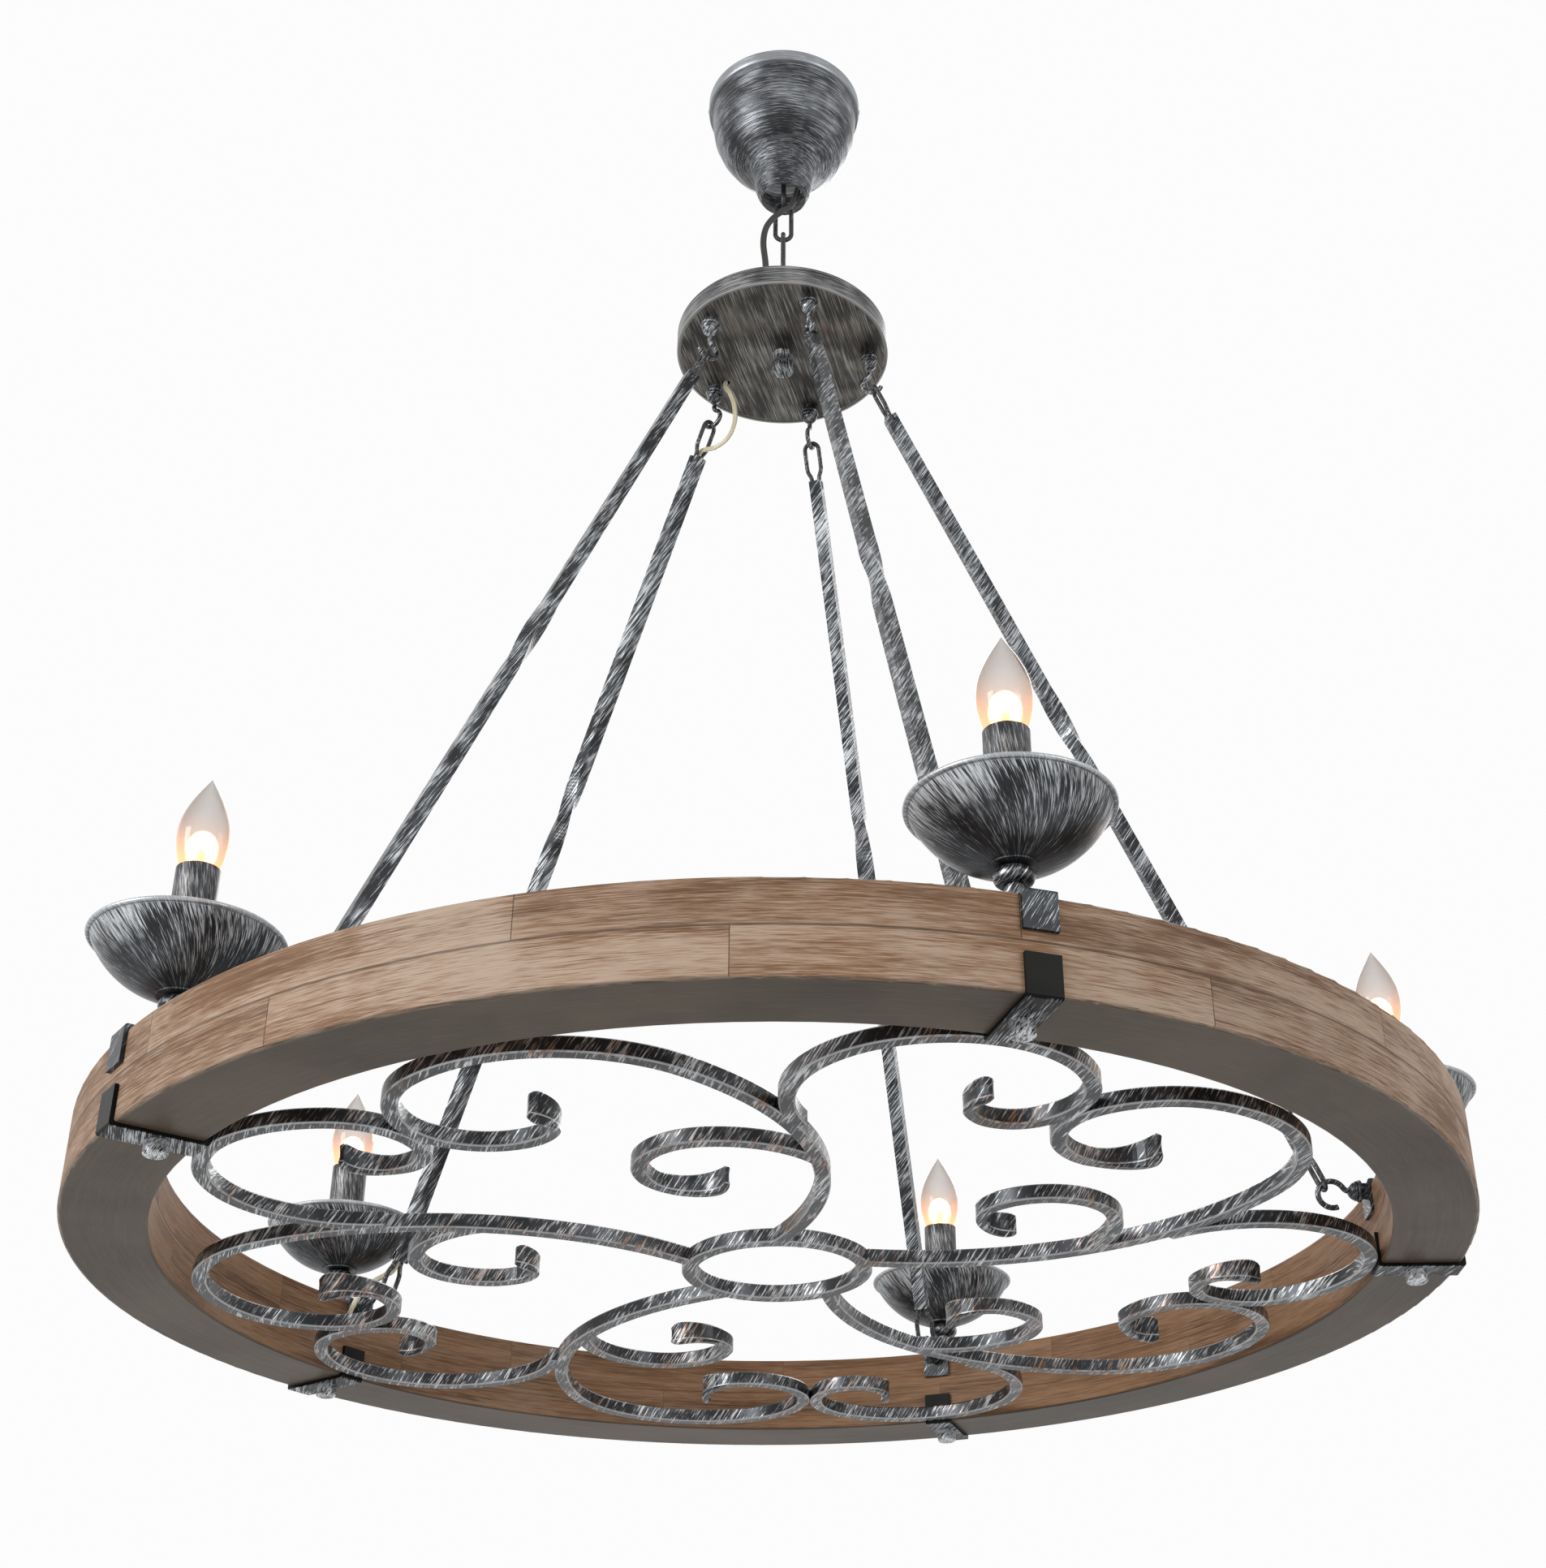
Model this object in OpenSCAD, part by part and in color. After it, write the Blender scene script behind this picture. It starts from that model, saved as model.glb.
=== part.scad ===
// Wagon wheel chandelier: a wooden ring with five candle lamps, hung by five twisted
// square tubes from a small round hub, which hangs by a chain from a ceiling canopy.
// Millimetres. Origin: the ceiling plane on the wheel's axis, Z up. Lamp 1 is on +X.

/* [Canopy] */
// Outer radius of the canopy's rim
canopy_r = 67; // [50:0.5:100]
// Depth of the canopy below the ceiling
canopy_h = 112; // [90:1:150]
// Sheet thickness of the canopy
canopy_wall = 1.2; // [0.8:0.1:2.5]
// Outer radius of the canopy's neck
canopy_neck_r = 25.3; // [20:0.1:34]
// Radius of the open hole in the neck
canopy_hole_r = 18.6; // [14:0.1:24]
// Width of the crossbar
crossbar_w = 20; // [14:0.5:30]
// Thickness of the crossbar
crossbar_t = 2.5; // [1.5:0.1:4]
// How far the middle of the crossbar stands off the ceiling
crossbar_drop = 12; // [8:0.5:20]
// Spacing of the two fixing slots
fixing_spacing = 88.9; // [70:0.1:105]
// Width of each fixing slot
fixing_slot_w = 4.8; // [4:0.1:6]
// Length of each fixing slot
fixing_slot_l = 9; // [6:0.5:12]
// Diameter of the screws that hold the canopy to the crossbar's ears
grub_d = 4; // [3:0.5:5]

/* [Chain] */
// Wire diameter of the chain and the canopy hook
chain_wire = 4; // [3:0.1:6]
// Outer length of a link
link_l = 46.3; // [34:0.1:70]
// Outer width of a link
link_w = 17.6; // [15:0.1:28]
// Depth of the canopy hook's bend below the ceiling, to the wire's centre
hook_drop = 83.7; // [60:0.1:100]
// Gap left between wires that hang in each other
wire_gap = 0.3; // [0.1:0.05:1]
// Height of the eye on top of the hub, from its top bow to the hub
eye_h = 40.6; // [34:0.1:60]

/* [Hub] */
// Diameter of the hub
hub_d = 175.2; // [120:0.2:240]
// Height of the hub's wall
hub_h = 19.5; // [14:0.1:40]
// Sheet thickness of the hub
hub_wall = 1.5; // [1:0.1:3]
// How far the plate sits inside the hub's rim
plate_recess = 1; // [0.5:0.1:4]
// Thickness of the hub's plate
plate_t = 2; // [1.5:0.1:4]
// Radius of the circle of hooks
hub_hook_r = 72; // [50:0.5:100]
// Diameter of the threaded shank that clamps the hub
shank_d = 6; // [5:0.5:8]
// Diameter of the knob's face
knob_d = 18.8; // [12:0.1:26]
// Length of the knob
knob_h = 17.6; // [12:0.1:26]

/* [Hooks] */
// Wire diameter of the hooks
hook_wire = 3.8; // [3:0.1:5]
// Centre-line radius of a hub hook
hub_bend_r = 8; // [6:0.1:12]
// Straight wire between a hub hook's boss and its bend
hub_hook_neck = 5.4; // [0:0.1:8]
// Centre-line radius of a wheel hook
wheel_bend_r = 9.3; // [6:0.1:12]
// Diameter of the hooks' turned boss
boss_d = 15.4; // [11:0.1:20]
// Height of the hub hooks' boss
boss_h = 16; // [12:0.1:20]

/* [Rods] */
// Length of a rod between the two hooks that it hangs on
rod_pivots = 746.7; // [600:0.1:1000]
// Side of the square tube
rod_side = 10; // [8:0.1:14]
// Diameter of the bore through the tube
rod_bore = 7.2; // [5:0.1:8]
// Length of the twisted stretch
twist_l = 70; // [30:1:160]
// Where the twist's middle lies, as a part of the tube's length from the top
twist_at = 0.47; // [0.2:0.01:0.8]
// Wire diameter of the rods' loops
loop_wire = 3.5; // [3:0.1:4.5]
// Outer width of the rods' loops
loop_w = 15.6; // [13:0.1:20]
// Distance from the hub hook's wire to the top of the tube
top_loop_l = 30; // [26:0.1:50]
// Distance from the bottom of the tube to the wheel hook's wire
bottom_loop_l = 24; // [20:0.1:50]

/* [Wheel] */
// Outer diameter of the wooden ring
wheel_d = 900; // [700:1:1200]
// Radial width of the wooden ring
wood_w = 53; // [40:0.5:80]
// Height of the wooden ring
wood_h = 56; // [40:0.5:80]
// Rounding of the ring's edges
wood_edge = 2; // [1:0.1:6]

/* [Brackets] */
// Width of the bracket strap
strap_w = 20; // [16:0.5:30]
// Thickness of the bracket strap
strap_t = 2.5; // [1.5:0.1:4]
// Length of the straps' legs on the outer side of the ring
outer_leg = 21; // [12:0.5:26]
// Length of the straps' legs on the inner side of the ring
inner_leg = 20; // [14:0.5:26]
// Diameter of the bracket bolt's round head
bolt_head_d = 14.4; // [10:0.1:18]
// Height of the bolt's head
bolt_head_h = 8; // [4:0.1:10]
// Diameter of the bolt's shank
bolt_d = 6; // [5:0.5:8]
// Clearance around the bolt's shank
bolt_gap = 0.3; // [0.1:0.05:1]
// Distance of the lamps and bolts from the ring's outer face
lamp_inset = 29; // [20:0.5:40]

/* [Scrolls] */
// Side of the square bar of the scrolls
bar = 9.5; // [7:0.1:12]
// Chamfer of the bar's edges
bar_edge = 1; // [0.4:0.1:2]
// Centre-line radius of the centre ring
centre_ring_r = 57.6; // [40:0.1:90]
// Space between the scrolls' outermost bend and the wooden ring
curl_gap = 10.3; // [4:0.1:30]
// Radius of an arm's long sweep from the centre ring, before it is fitted to the wheel
sweep_r = 222.6; // [190:0.1:260]
// Radius of its shoulder near the wooden ring
shoulder_r = 103; // [90:0.1:115]
// Radius of its back
back_r = 69.7; // [60:0.1:80]
// Radius of its curl
curl_r = 46.9; // [42:0.1:52]
// Radius of the branch curl's first bend
branch_r = 72.3; // [60:0.1:84]
// Radius of the branch curl
branch_curl_r = 44; // [38:0.1:50]
// Radius of the bracket scroll's own curl
scroll_curl_r = 27.5; // [22:0.1:32]
// Thickness of the hammered tips
tip_t = 3.2; // [2:0.1:6]
// Height of the arms' hammered tips
tip_h = 20; // [12:0.1:26]
// Height of the smaller tips on the branch curls and bracket scrolls
small_tip_h = 16.5; // [11:0.1:22]

/* [Lamps] */
// Diameter of the cup's rim
cup_d = 115; // [90:0.5:140]
// Height of the cup
cup_h = 38; // [26:0.5:60]
// Sheet thickness of the cup
cup_wall = 1.2; // [0.8:0.1:2.5]
// Height of the turned stem between the strap and the cup
stem_h = 26.5; // [16:0.1:50]
// Diameter of the bead under the cup
bead_d = 22.5; // [16:0.1:30]
// Diameter of the stem's threaded end
stem_d = 10; // [8:0.1:11]
// Outer diameter of the candle sleeve
sleeve_d = 26.3; // [22:0.1:32]
// Wall of the candle sleeve
sleeve_wall = 1.2; // [0.8:0.1:2]
// Length of the candle sleeve
sleeve_l = 80.8; // [60:0.1:140]
// Clearance between the sleeve and the lampholder
holder_gap = 0.4; // [0.2:0.05:1]
// Diameter of the bulb's metal cap
cap_d = 13.8; // [11:0.1:14.5]
// Clearance between the cap and the lampholder
cap_gap = 0.3; // [0.2:0.05:0.6]
// Largest diameter of the bulb's glass
bulb_d = 31.6; // [26:0.1:40]
// Height of the glass above the sleeve
bulb_h = 62.5; // [45:0.1:90]

/* [Wires] */
// Width of the dark flat supply cord
cord_w = 5.4; // [4:0.1:8]
// Thickness of the dark flat supply cord
cord_t = 2.8; // [2:0.1:4]
// Width of the clear lamp wire
wire_w = 4.4; // [3:0.1:5]
// Thickness of the clear lamp wire
wire_t = 2.4; // [1.8:0.1:3]

/* [Hidden] */
$fn = 96;
arms = 5;
step_a = 360 / arms;
slack = 0.02;

// Chain: each link hangs in the one above, turned a quarter
link_pitch = link_l - 2 * chain_wire - wire_gap;
bow_r = (link_w - chain_wire) / 2;
link_top_1 = -hook_drop + chain_wire / 2 + wire_gap + chain_wire;
eye_top = link_top_1 - 4 * link_pitch;
hub_top = eye_top - eye_h;
hub_bottom = hub_top - hub_h;
plate_z = hub_bottom + plate_recess;
hub_r = hub_d / 2;

// Hooks: the wire leaves its boss, bends away and comes round
hook_out = 60;
s_bend_r = 5;
function bend_side(r) = r * cos(hook_out) - s_bend_r * (1 - cos(hook_out));
function bend_along(r) = (s_bend_r + r) * sin(hook_out);
hub_bend_x = hub_hook_r + bend_side(hub_bend_r);
hub_bend_z = plate_z - boss_h - hub_hook_neck - bend_along(hub_bend_r);

// Wheel: radii of the ring and its brackets
wheel_r = wheel_d / 2;
wood_ri = wheel_r - wood_w;
leg_ro = sqrt(pow(wood_ri, 2) - pow(strap_w / 2, 2)) - 0.05;
leg_ri = leg_ro - strap_t;
lamp_r = wheel_r - lamp_inset;
wheel_boss_h = 12;
wheel_bend_x = leg_ri - wheel_boss_h + 1.8 - bend_along(wheel_bend_r);

// Rods: a straight line from one hook's wire to the other's, which sets the wheel's height
hook_drop_in = 3;
top_lean = 22.6;
bottom_lean = 37;
rod_top_x = hub_bend_x + hub_bend_r * sin(top_lean);
rod_top_z = hub_bend_z - hub_bend_r * cos(top_lean);
rod_bottom_x = wheel_bend_x - wheel_bend_r * sin(bottom_lean);
rod_run = rod_bottom_x - rod_top_x;
rod_fall = sqrt(pow(rod_pivots, 2) - pow(rod_run, 2));
rod_bottom_z = rod_top_z - rod_fall;
lean = atan2(rod_run, rod_fall);
wheel_bend_z = rod_bottom_z - wheel_bend_r * cos(bottom_lean);
wheel_hook_z = wheel_bend_z + bend_side(wheel_bend_r);
wood_top = wheel_hook_z + hook_drop_in;
wood_bottom = wood_top - wood_h;
strap_top = wood_top + strap_t;
strap_bottom = wood_bottom - strap_t;

// Walking along arcs: p = [x, y, heading], s = [radius, turn] or [0, length]
function step(p, s) =
  s[0] == 0 ? [p[0] + s[1] * cos(p[2]), p[1] + s[1] * sin(p[2]), p[2]] :
  let (q = sign(s[1]), h = p[2] + s[1],
       cx = p[0] - q * s[0] * sin(p[2]), cy = p[1] + q * s[0] * cos(p[2]))
  [cx + q * s[0] * sin(h), cy - q * s[0] * cos(h), h];
function walk(p, segs, n) = n == 0 ? p : step(walk(p, segs, n - 1), segs[n - 1]);
function arc_centre(p, s) =
  [p[0] - sign(s[1]) * s[0] * sin(p[2]), p[1] + sign(s[1]) * s[0] * cos(p[2])];
function grown(segs, k) = [for (s = segs) s[0] == 0 ? s : [s[0] * k, s[1]]];

// Scroll plan in one arm's own frame: +X points at the arm's bracket
arm_start_a = -17.5;
arm_heading = 11.9;
arm_shape = [[sweep_r, -77.5], [shoulder_r, -90.8], [back_r, -53.7], [curl_r, -116]];
arm_p0 = concat((centre_ring_r - 1) * [cos(arm_start_a), sin(arm_start_a)], arm_heading);
v = arc_centre(walk([0, 0, arm_heading], arm_shape, 1), arm_shape[1]);
reach = wood_ri - curl_gap - bar / 2;
qa = v * v - pow(shoulder_r, 2);
qb = arm_p0[0] * v[0] + arm_p0[1] * v[1] + reach * shoulder_r;
qc = pow(centre_ring_r - 1, 2) - pow(reach, 2);
plan_k = (-qb + sqrt(qb * qb - qa * qc)) / qa;
arm_segs = grown(arm_shape, plan_k);
arm_tip = spiral(31 * plan_k, 19 * plan_k, -118);
function spiral(r0, r1, turn, n = 16) =
  [for (i = [0:n - 1]) [r0 + (r1 - r0) * (i + 0.5) / n, turn / n]];

branch_on = 38.4;
branch_off = 26.5;
branch_p0 = let (w = step(arm_p0, [arm_segs[0][0], -branch_on])) [w[0], w[1], w[2] - branch_off];
branch_segs = grown([[branch_r, -58.8], [branch_curl_r, -110]], plan_k);
branch_tip = spiral(33 * plan_k, 15 * plan_k, -150);

scroll_on = 53.2;
scroll_lap = 5.6;
sweep_c = arc_centre(arm_p0, arm_segs[0]);
scroll_a = arm_heading + 90 - scroll_on;
scroll_reach = leg_ri - bar / 2 - slack;
lap_r = arm_segs[0][0] + scroll_lap;
loop_r = (scroll_reach - sweep_c[0] - lap_r * cos(scroll_a)) / (1 + cos(scroll_a));
scroll_p0 = [sweep_c[0] + lap_r * cos(scroll_a), sweep_c[1] + lap_r * sin(scroll_a),
             scroll_a - 90];
loop_turn = 187.3;
scroll_p1 = step(scroll_p0, [loop_r, loop_turn]);
loop_c = arc_centre(scroll_p0, [loop_r, loop_turn]);
next_curl = arc_centre(walk(arm_p0, arm_segs, 3), arm_segs[3]);
next_c = [next_curl[0] * cos(step_a) - next_curl[1] * sin(step_a),
          next_curl[0] * sin(step_a) + next_curl[1] * cos(step_a)];
touch = arm_segs[3][0] + bar + 2 * slack;
to_next = [scroll_p1[0] - next_c[0], scroll_p1[1] - next_c[1]];
inward = (loop_c - [scroll_p1[0], scroll_p1[1]]) / loop_r;
crown_r = (to_next * to_next - touch * touch) / (2 * (touch - inward * to_next));
scroll_segs = [[loop_r, loop_turn], [crown_r, 80], [scroll_curl_r * plan_k, 70]];
scroll_tip = spiral(27 * plan_k, 17 * plan_k, 115);

bar_z = wood_bottom + bar / 2;

// Lamp heights
cup_bottom = strap_top + stem_h;
cup_r = cup_d / 2;
rim_roll = 1.6;
cup_ball = (pow(cup_r - rim_roll, 2) + pow(cup_h - 1, 2)) / (2 * (cup_h - 1));
cup_seat_r = sleeve_d / 2 + 0.4;
cup_seat = cup_ball - sqrt(pow(cup_ball - cup_wall, 2) - pow(cup_seat_r, 2)) + 0.1;
cup_floor = cup_bottom + cup_seat;
sleeve_top = cup_floor + sleeve_l;
holder_r = sleeve_d / 2 - sleeve_wall - holder_gap;
holder_top = sleeve_top - 7;
socket_floor = holder_top - 38;
cap_bottom = socket_floor + 8;
glass_bottom = holder_top + 0.5;

metal = [0.35, 0.36, 0.38];
dark = [0.18, 0.18, 0.19];
wood = [0.55, 0.37, 0.22];

module around(k) rotate([0, 0, (k - 1) * step_a]) children();

// Sweep a flat section along a walk of arcs and straights in the XY plane; each stretch
// starts a little inside the one before, so that they join
module sweep(p, segs, lap = 0.05) {
  for (i = [0:len(segs) - 1]) {
    a = walk(p, segs, i);
    s = segs[i];
    back = i == 0 ? 0 : lap;
    if (s[0] == 0) {
      translate([a[0], a[1], 0])
        rotate([0, 0, a[2]])
          rotate([90, 0, 90])
            translate([0, 0, -back])
              linear_extrude(s[1] + back) children();
    } else {
      c = arc_centre(a, s);
      e = back / s[0] * 180 / PI;
      translate([c[0], c[1], 0])
        rotate([0, 0, s[1] > 0 ? a[2] - 90 - e : a[2] + 90 + s[1]])
          rotate_extrude(angle = abs(s[1]) + e) translate([s[0], 0]) children();
    }
  }
}

// Round wire along a walk; a bead at each join, hardly thicker than the wire, holds the
// stretches together
module wire_path(p, segs, d) {
  sweep(p, segs, -0.02) wire(d);
  if (len(segs) > 1)
    for (i = [1:len(segs) - 1]) {
      a = walk(p, segs, i);
      translate([a[0], a[1], 0]) rotate([0, 90, a[2]]) sphere(d = d + 0.1, $fn = 32);
    }
}

// Square bar with chamfered edges, as points: t across, h high, g deep groove outside
function bar_points(t, h, c, g) = [
  [t / 2 - c, -h / 2], [t / 2, -h / 2 + c], [t / 2 - g, -h / 6], [t / 2 - g, h / 6],
  [t / 2, h / 2 - c], [t / 2 - c, h / 2], [-t / 2 + c, h / 2], [-t / 2, h / 2 - c],
  [-t / 2 + g, h / 6], [-t / 2 + g, -h / 6], [-t / 2, -h / 2 + c], [-t / 2 + c, -h / 2]];

module bar_section(g = 0)
  polygon([for (i = [0, 1, 4, 5, 6, 7, 10, 11]) bar_points(bar + g, bar + g, bar_edge, 0)[i]]);

// Square bar along a path, with a dressed weld where one bend runs into the next
module bar_path(p, segs) {
  sweep(p, segs, -0.02) bar_section();
  for (i = [1:len(segs) - 1]) {
    a = walk(p, segs, i);
    translate([a[0], a[1], 0])
      rotate([0, 0, a[2]])
        rotate([90, 0, 90])
          translate([0, 0, -0.5])
            linear_extrude(1) bar_section(0.1);
  }
}

// Hammered tip: the bar gets thin and tall along its last turn, with a shallow groove
module hammered_tip(p, segs, height) {
  n = len(segs) + 1;
  b = bar - 0.1;
  rings = [for (i = [0:n])
    let (u = max(i - 1, 0) / (n - 1), e = u * u * (3 - 2 * u), round_off = 1 - 0.30 * pow(u, 14),
         t = b + (tip_t - b) * pow(u, 0.8), h = (b + (height - b) * e) * round_off,
         c = min(bar_edge, t * 0.3), g = 0.6 * e,
         w = i == 0 ? step(p, [0, -0.5]) : walk(p, segs, i - 1))
    [for (q = bar_points(t, h, c, g))
      [w[0] - q[0] * sin(w[2]), w[1] + q[0] * cos(w[2]), q[1]]]];
  m = 12;
  points = [for (r = rings) for (q = r) q];
  sides = [for (i = [0:n - 1]) for (j = [0:m - 1])
    let (a = i * m + j, b = i * m + (j + 1) % m) each [[a, b + m, b], [a, a + m, b + m]]];
  ends = [[for (j = [0:m - 1]) j], [for (j = [m - 1:-1:0]) n * m + j]];
  polyhedron(points, concat(sides, ends), convexity = 6);
}

// Smooth flat cord through hand-placed points; its flat side faces the given way
function spline(p, q, r, s, u) = 0.5 * ((2 * q) + (r - p) * u
  + (2 * p - 5 * q + 4 * r - s) * u * u + (3 * q - p - 3 * r + s) * u * u * u);
function eased(pts, n) = [for (i = [0:len(pts) - 2]) for (j = [0:n - 1])
  spline(pts[max(i - 1, 0)], pts[i], pts[i + 1], pts[min(i + 2, len(pts) - 1)], j / n),
  pts[len(pts) - 1]];
module flat_cord(path, width, thick, face) {
  n = len(path);
  rings = [for (i = [0:n - 1])
    let (t = path[min(i + 1, n - 1)] - path[max(i - 1, 0)], w0 = cross(t, face),
         w = w0 / norm(w0), b0 = cross(w, t), b = b0 / norm(b0))
    [for (j = [0:7]) let (a = j * 45 + 22.5,
        x = (width - thick) / 2 * sign(cos(a)) + thick / 2 / cos(22.5) * cos(a),
        y = thick / 2 / cos(22.5) * sin(a)) path[i] + x * w + y * b]];
  points = [for (r = rings) for (q = r) q];
  sides = [for (i = [0:n - 2]) for (j = [0:7])
    let (a = i * 8 + j, b = i * 8 + (j + 1) % 8) each [[a, b, b + 8], [a, b + 8, a + 8]]];
  ends = [[for (j = [7:-1:0]) j], [for (j = [0:7]) (n - 1) * 8 + j]];
  polyhedron(points, concat(sides, ends), convexity = 8);
}

module torus(r, tube) rotate_extrude() translate([r, 0]) circle(r = tube, $fn = 32);
module wire(d) circle(d = d, $fn = 32);

// --- Ceiling group
neck_z = -canopy_h + 34;
canopy_line = [
  [canopy_r, 0], [canopy_r, -8.5], [canopy_r - 0.8, -10.2], [canopy_r - 2.6, -11],
  [canopy_r - 3.2, -15], [canopy_r - 4.2, -26], [canopy_r - 6, -38],
  [canopy_r - 10.5, -50], [canopy_r - 17, neck_z + 17.5], [canopy_neck_r + 17, neck_z + 10],
  [canopy_neck_r + 9, neck_z + 5.5], [canopy_neck_r + 4, neck_z + 2],
  [canopy_neck_r + 1.2, neck_z - 2], [canopy_neck_r, neck_z - 7],
  [canopy_neck_r, neck_z - 15], [canopy_neck_r - 0.9, neck_z - 22],
  [canopy_neck_r - 2.8, neck_z - 28], [canopy_hole_r + 1.2, neck_z - 33],
  [canopy_hole_r, -canopy_h]];
function inward_point(line, i, w) =
  let (n = len(line) - 1, t = line[min(i + 1, n)] - line[max(i - 1, 0)], m = norm(t))
  [line[i][0] + w * t[1] / m, line[i][1] - w * t[0] / m];
canopy_inside = [for (i = [len(canopy_line) - 2:-1:1]) inward_point(canopy_line, i, canopy_wall)];

module canopy() color(metal) {
  difference() {
    rotate_extrude()
      polygon(concat(canopy_line, canopy_inside, [[canopy_r - canopy_wall, 0]]));
    for (s = [-1, 1])
      translate([s * (canopy_r - 6), 0, ear_z])
        rotate([0, s * 90, 0]) cylinder(d = grub_d + 0.2, h = 10, $fn = 32);
  }
}

ear_z = -4.5;
ear_h = 8;
ear_x = sqrt(pow(canopy_r - canopy_wall - 0.3, 2) - pow(crossbar_w / 2, 2));
ear_gap = canopy_r - canopy_wall - ear_x;
module crossbar() color(dark)
  difference() {
    rotate([90, 0, 0])
      translate([0, 0, -crossbar_w / 2])
        linear_extrude(crossbar_w) {
          for (s = [-1, 1]) {
            translate([s > 0 ? 30 : -ear_x, -crossbar_t]) square([ear_x - 30, crossbar_t]);
            translate([s > 0 ? 30 : -30 - crossbar_t, -crossbar_drop - crossbar_t])
              square([crossbar_t, crossbar_drop + crossbar_t]);
            translate([s > 0 ? ear_x - crossbar_t : -ear_x, -ear_h]) square([crossbar_t, ear_h]);
          }
          translate([-30 - crossbar_t, -crossbar_drop - crossbar_t])
            square([60 + 2 * crossbar_t, crossbar_t]);
        }
    for (s = [-1, 1]) {
      for (e = [-1, 1])
        translate([s * fixing_spacing / 2 + e * (fixing_slot_l - fixing_slot_w) / 2, 0, -6])
          cylinder(d = fixing_slot_w, h = 12, $fn = 32);
      translate([s * fixing_spacing / 2 - (fixing_slot_l - fixing_slot_w) / 2,
                 -fixing_slot_w / 2, -6])
        cube([fixing_slot_l - fixing_slot_w, fixing_slot_w, 12]);
      translate([s * (ear_x - 6), 0, ear_z])
        rotate([0, s * 90, 0]) cylinder(d = grub_d, h = 12, $fn = 32);
    }
    translate([0, 0, -crossbar_drop - 6]) cylinder(d = shank_d + 0.2, h = 12, $fn = 48);
  }

module canopy_screws() color(dark)
  for (s = [-1, 1])
    translate([s * (ear_x - crossbar_t - 2), 0, ear_z])
      rotate([0, s * 90, 0])
        difference() {
          cylinder(d = grub_d, h = crossbar_t + 2 + ear_gap + canopy_wall + 0.4, $fn = 32);
          translate([0, 0, crossbar_t + 2 + ear_gap + canopy_wall - 0.8])
            cylinder(d = 2, h = 3, $fn = 6);
        }

// The hook's bend lies in the XZ plane and its shank goes through the crossbar to a nut
hook_r = bow_r + 1.5;
hook_z = -hook_drop + hook_r;
module canopy_hook() color(dark) {
  translate([0, 0, hook_z])
    rotate([90, 0, 0])
      sweep([0, hook_r, 180], [[hook_r, 290]]) wire(chain_wire);
  translate([0, 0, hook_z + hook_r - 0.4])
    cylinder(d = shank_d, h = -crossbar_drop + 8 - hook_z - hook_r + 0.4, $fn = 48);
  translate([0, 0, hook_z + hook_r - 1])
    cylinder(d1 = chain_wire + 2, d2 = shank_d, h = 4, $fn = 48);
  translate([0, 0, -crossbar_drop]) nut(10, 5);
  translate([0, 0, -crossbar_drop - crossbar_t - 5]) nut(10, 5);
}
module nut(flats, h) cylinder(d = flats / cos(30), h = h, $fn = 6);

// --- Chain
module link_body()
  for (m = [0, 1]) rotate([180 * m, 0, 0])
    translate([0, 0, link_l / 2 - bow_r - chain_wire / 2]) {
      rotate([90, 0, 0]) rotate_extrude(angle = 180) translate([bow_r, 0]) wire(chain_wire);
      for (s = [-1, 1])
        translate([s * bow_r, 0, -link_l / 2 + bow_r + chain_wire / 2])
          cylinder(d = chain_wire, h = link_l / 2 - bow_r - chain_wire / 2, $fn = 32);
    }
module chain_link(i) color(dark)
  translate([0, 0, link_top_1 - (i - 1) * link_pitch - link_l / 2])
    rotate([0, 0, i % 2 == 1 ? 90 : 0]) link_body();
module link_1() chain_link(1);
module link_2() chain_link(2);
module link_3() chain_link(3);
module link_4() chain_link(4);

// --- Hub
cord_hole_x = -14;
module hub_drum() color(metal)
  difference() {
    translate([0, 0, hub_bottom])
      rotate_extrude() {
        translate([hub_r - hub_wall, 0]) square([hub_wall, hub_h - 3]);
        translate([0, hub_h - hub_wall]) square([hub_r - 3, hub_wall]);
        translate([hub_r - 3, hub_h - 3])
          intersection() {
            difference() {
              circle(r = 3, $fn = 48);
              circle(r = 3 - hub_wall, $fn = 48);
            }
            square(4);
          }
      }
    translate([0, 0, hub_top - 4]) cylinder(d = shank_d + 0.2, h = 8, $fn = 48);
    translate([cord_hole_x, 0, hub_top - 4]) cylinder(d = cord_w + 3, h = 8, $fn = 48);
  }

wire_hole_r = 60;
module hub_plate() color(metal)
  difference() {
    translate([0, 0, plate_z]) cylinder(r = hub_r - hub_wall - 0.1, h = plate_t, $fn = 180);
    translate([0, 0, plate_z - 2]) cylinder(d = shank_d + 0.2, h = plate_t + 4, $fn = 48);
    for (k = [1:arms]) around(k)
      translate([hub_hook_r, 0, plate_z - 2])
        cylinder(d = shank_d + 0.2, h = plate_t + 4, $fn = 48);
    around(3) translate([wire_hole_r, 0, plate_z - 2])
      cylinder(d = wire_w + 2.4, h = plate_t + 4, $fn = 48);
  }

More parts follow.
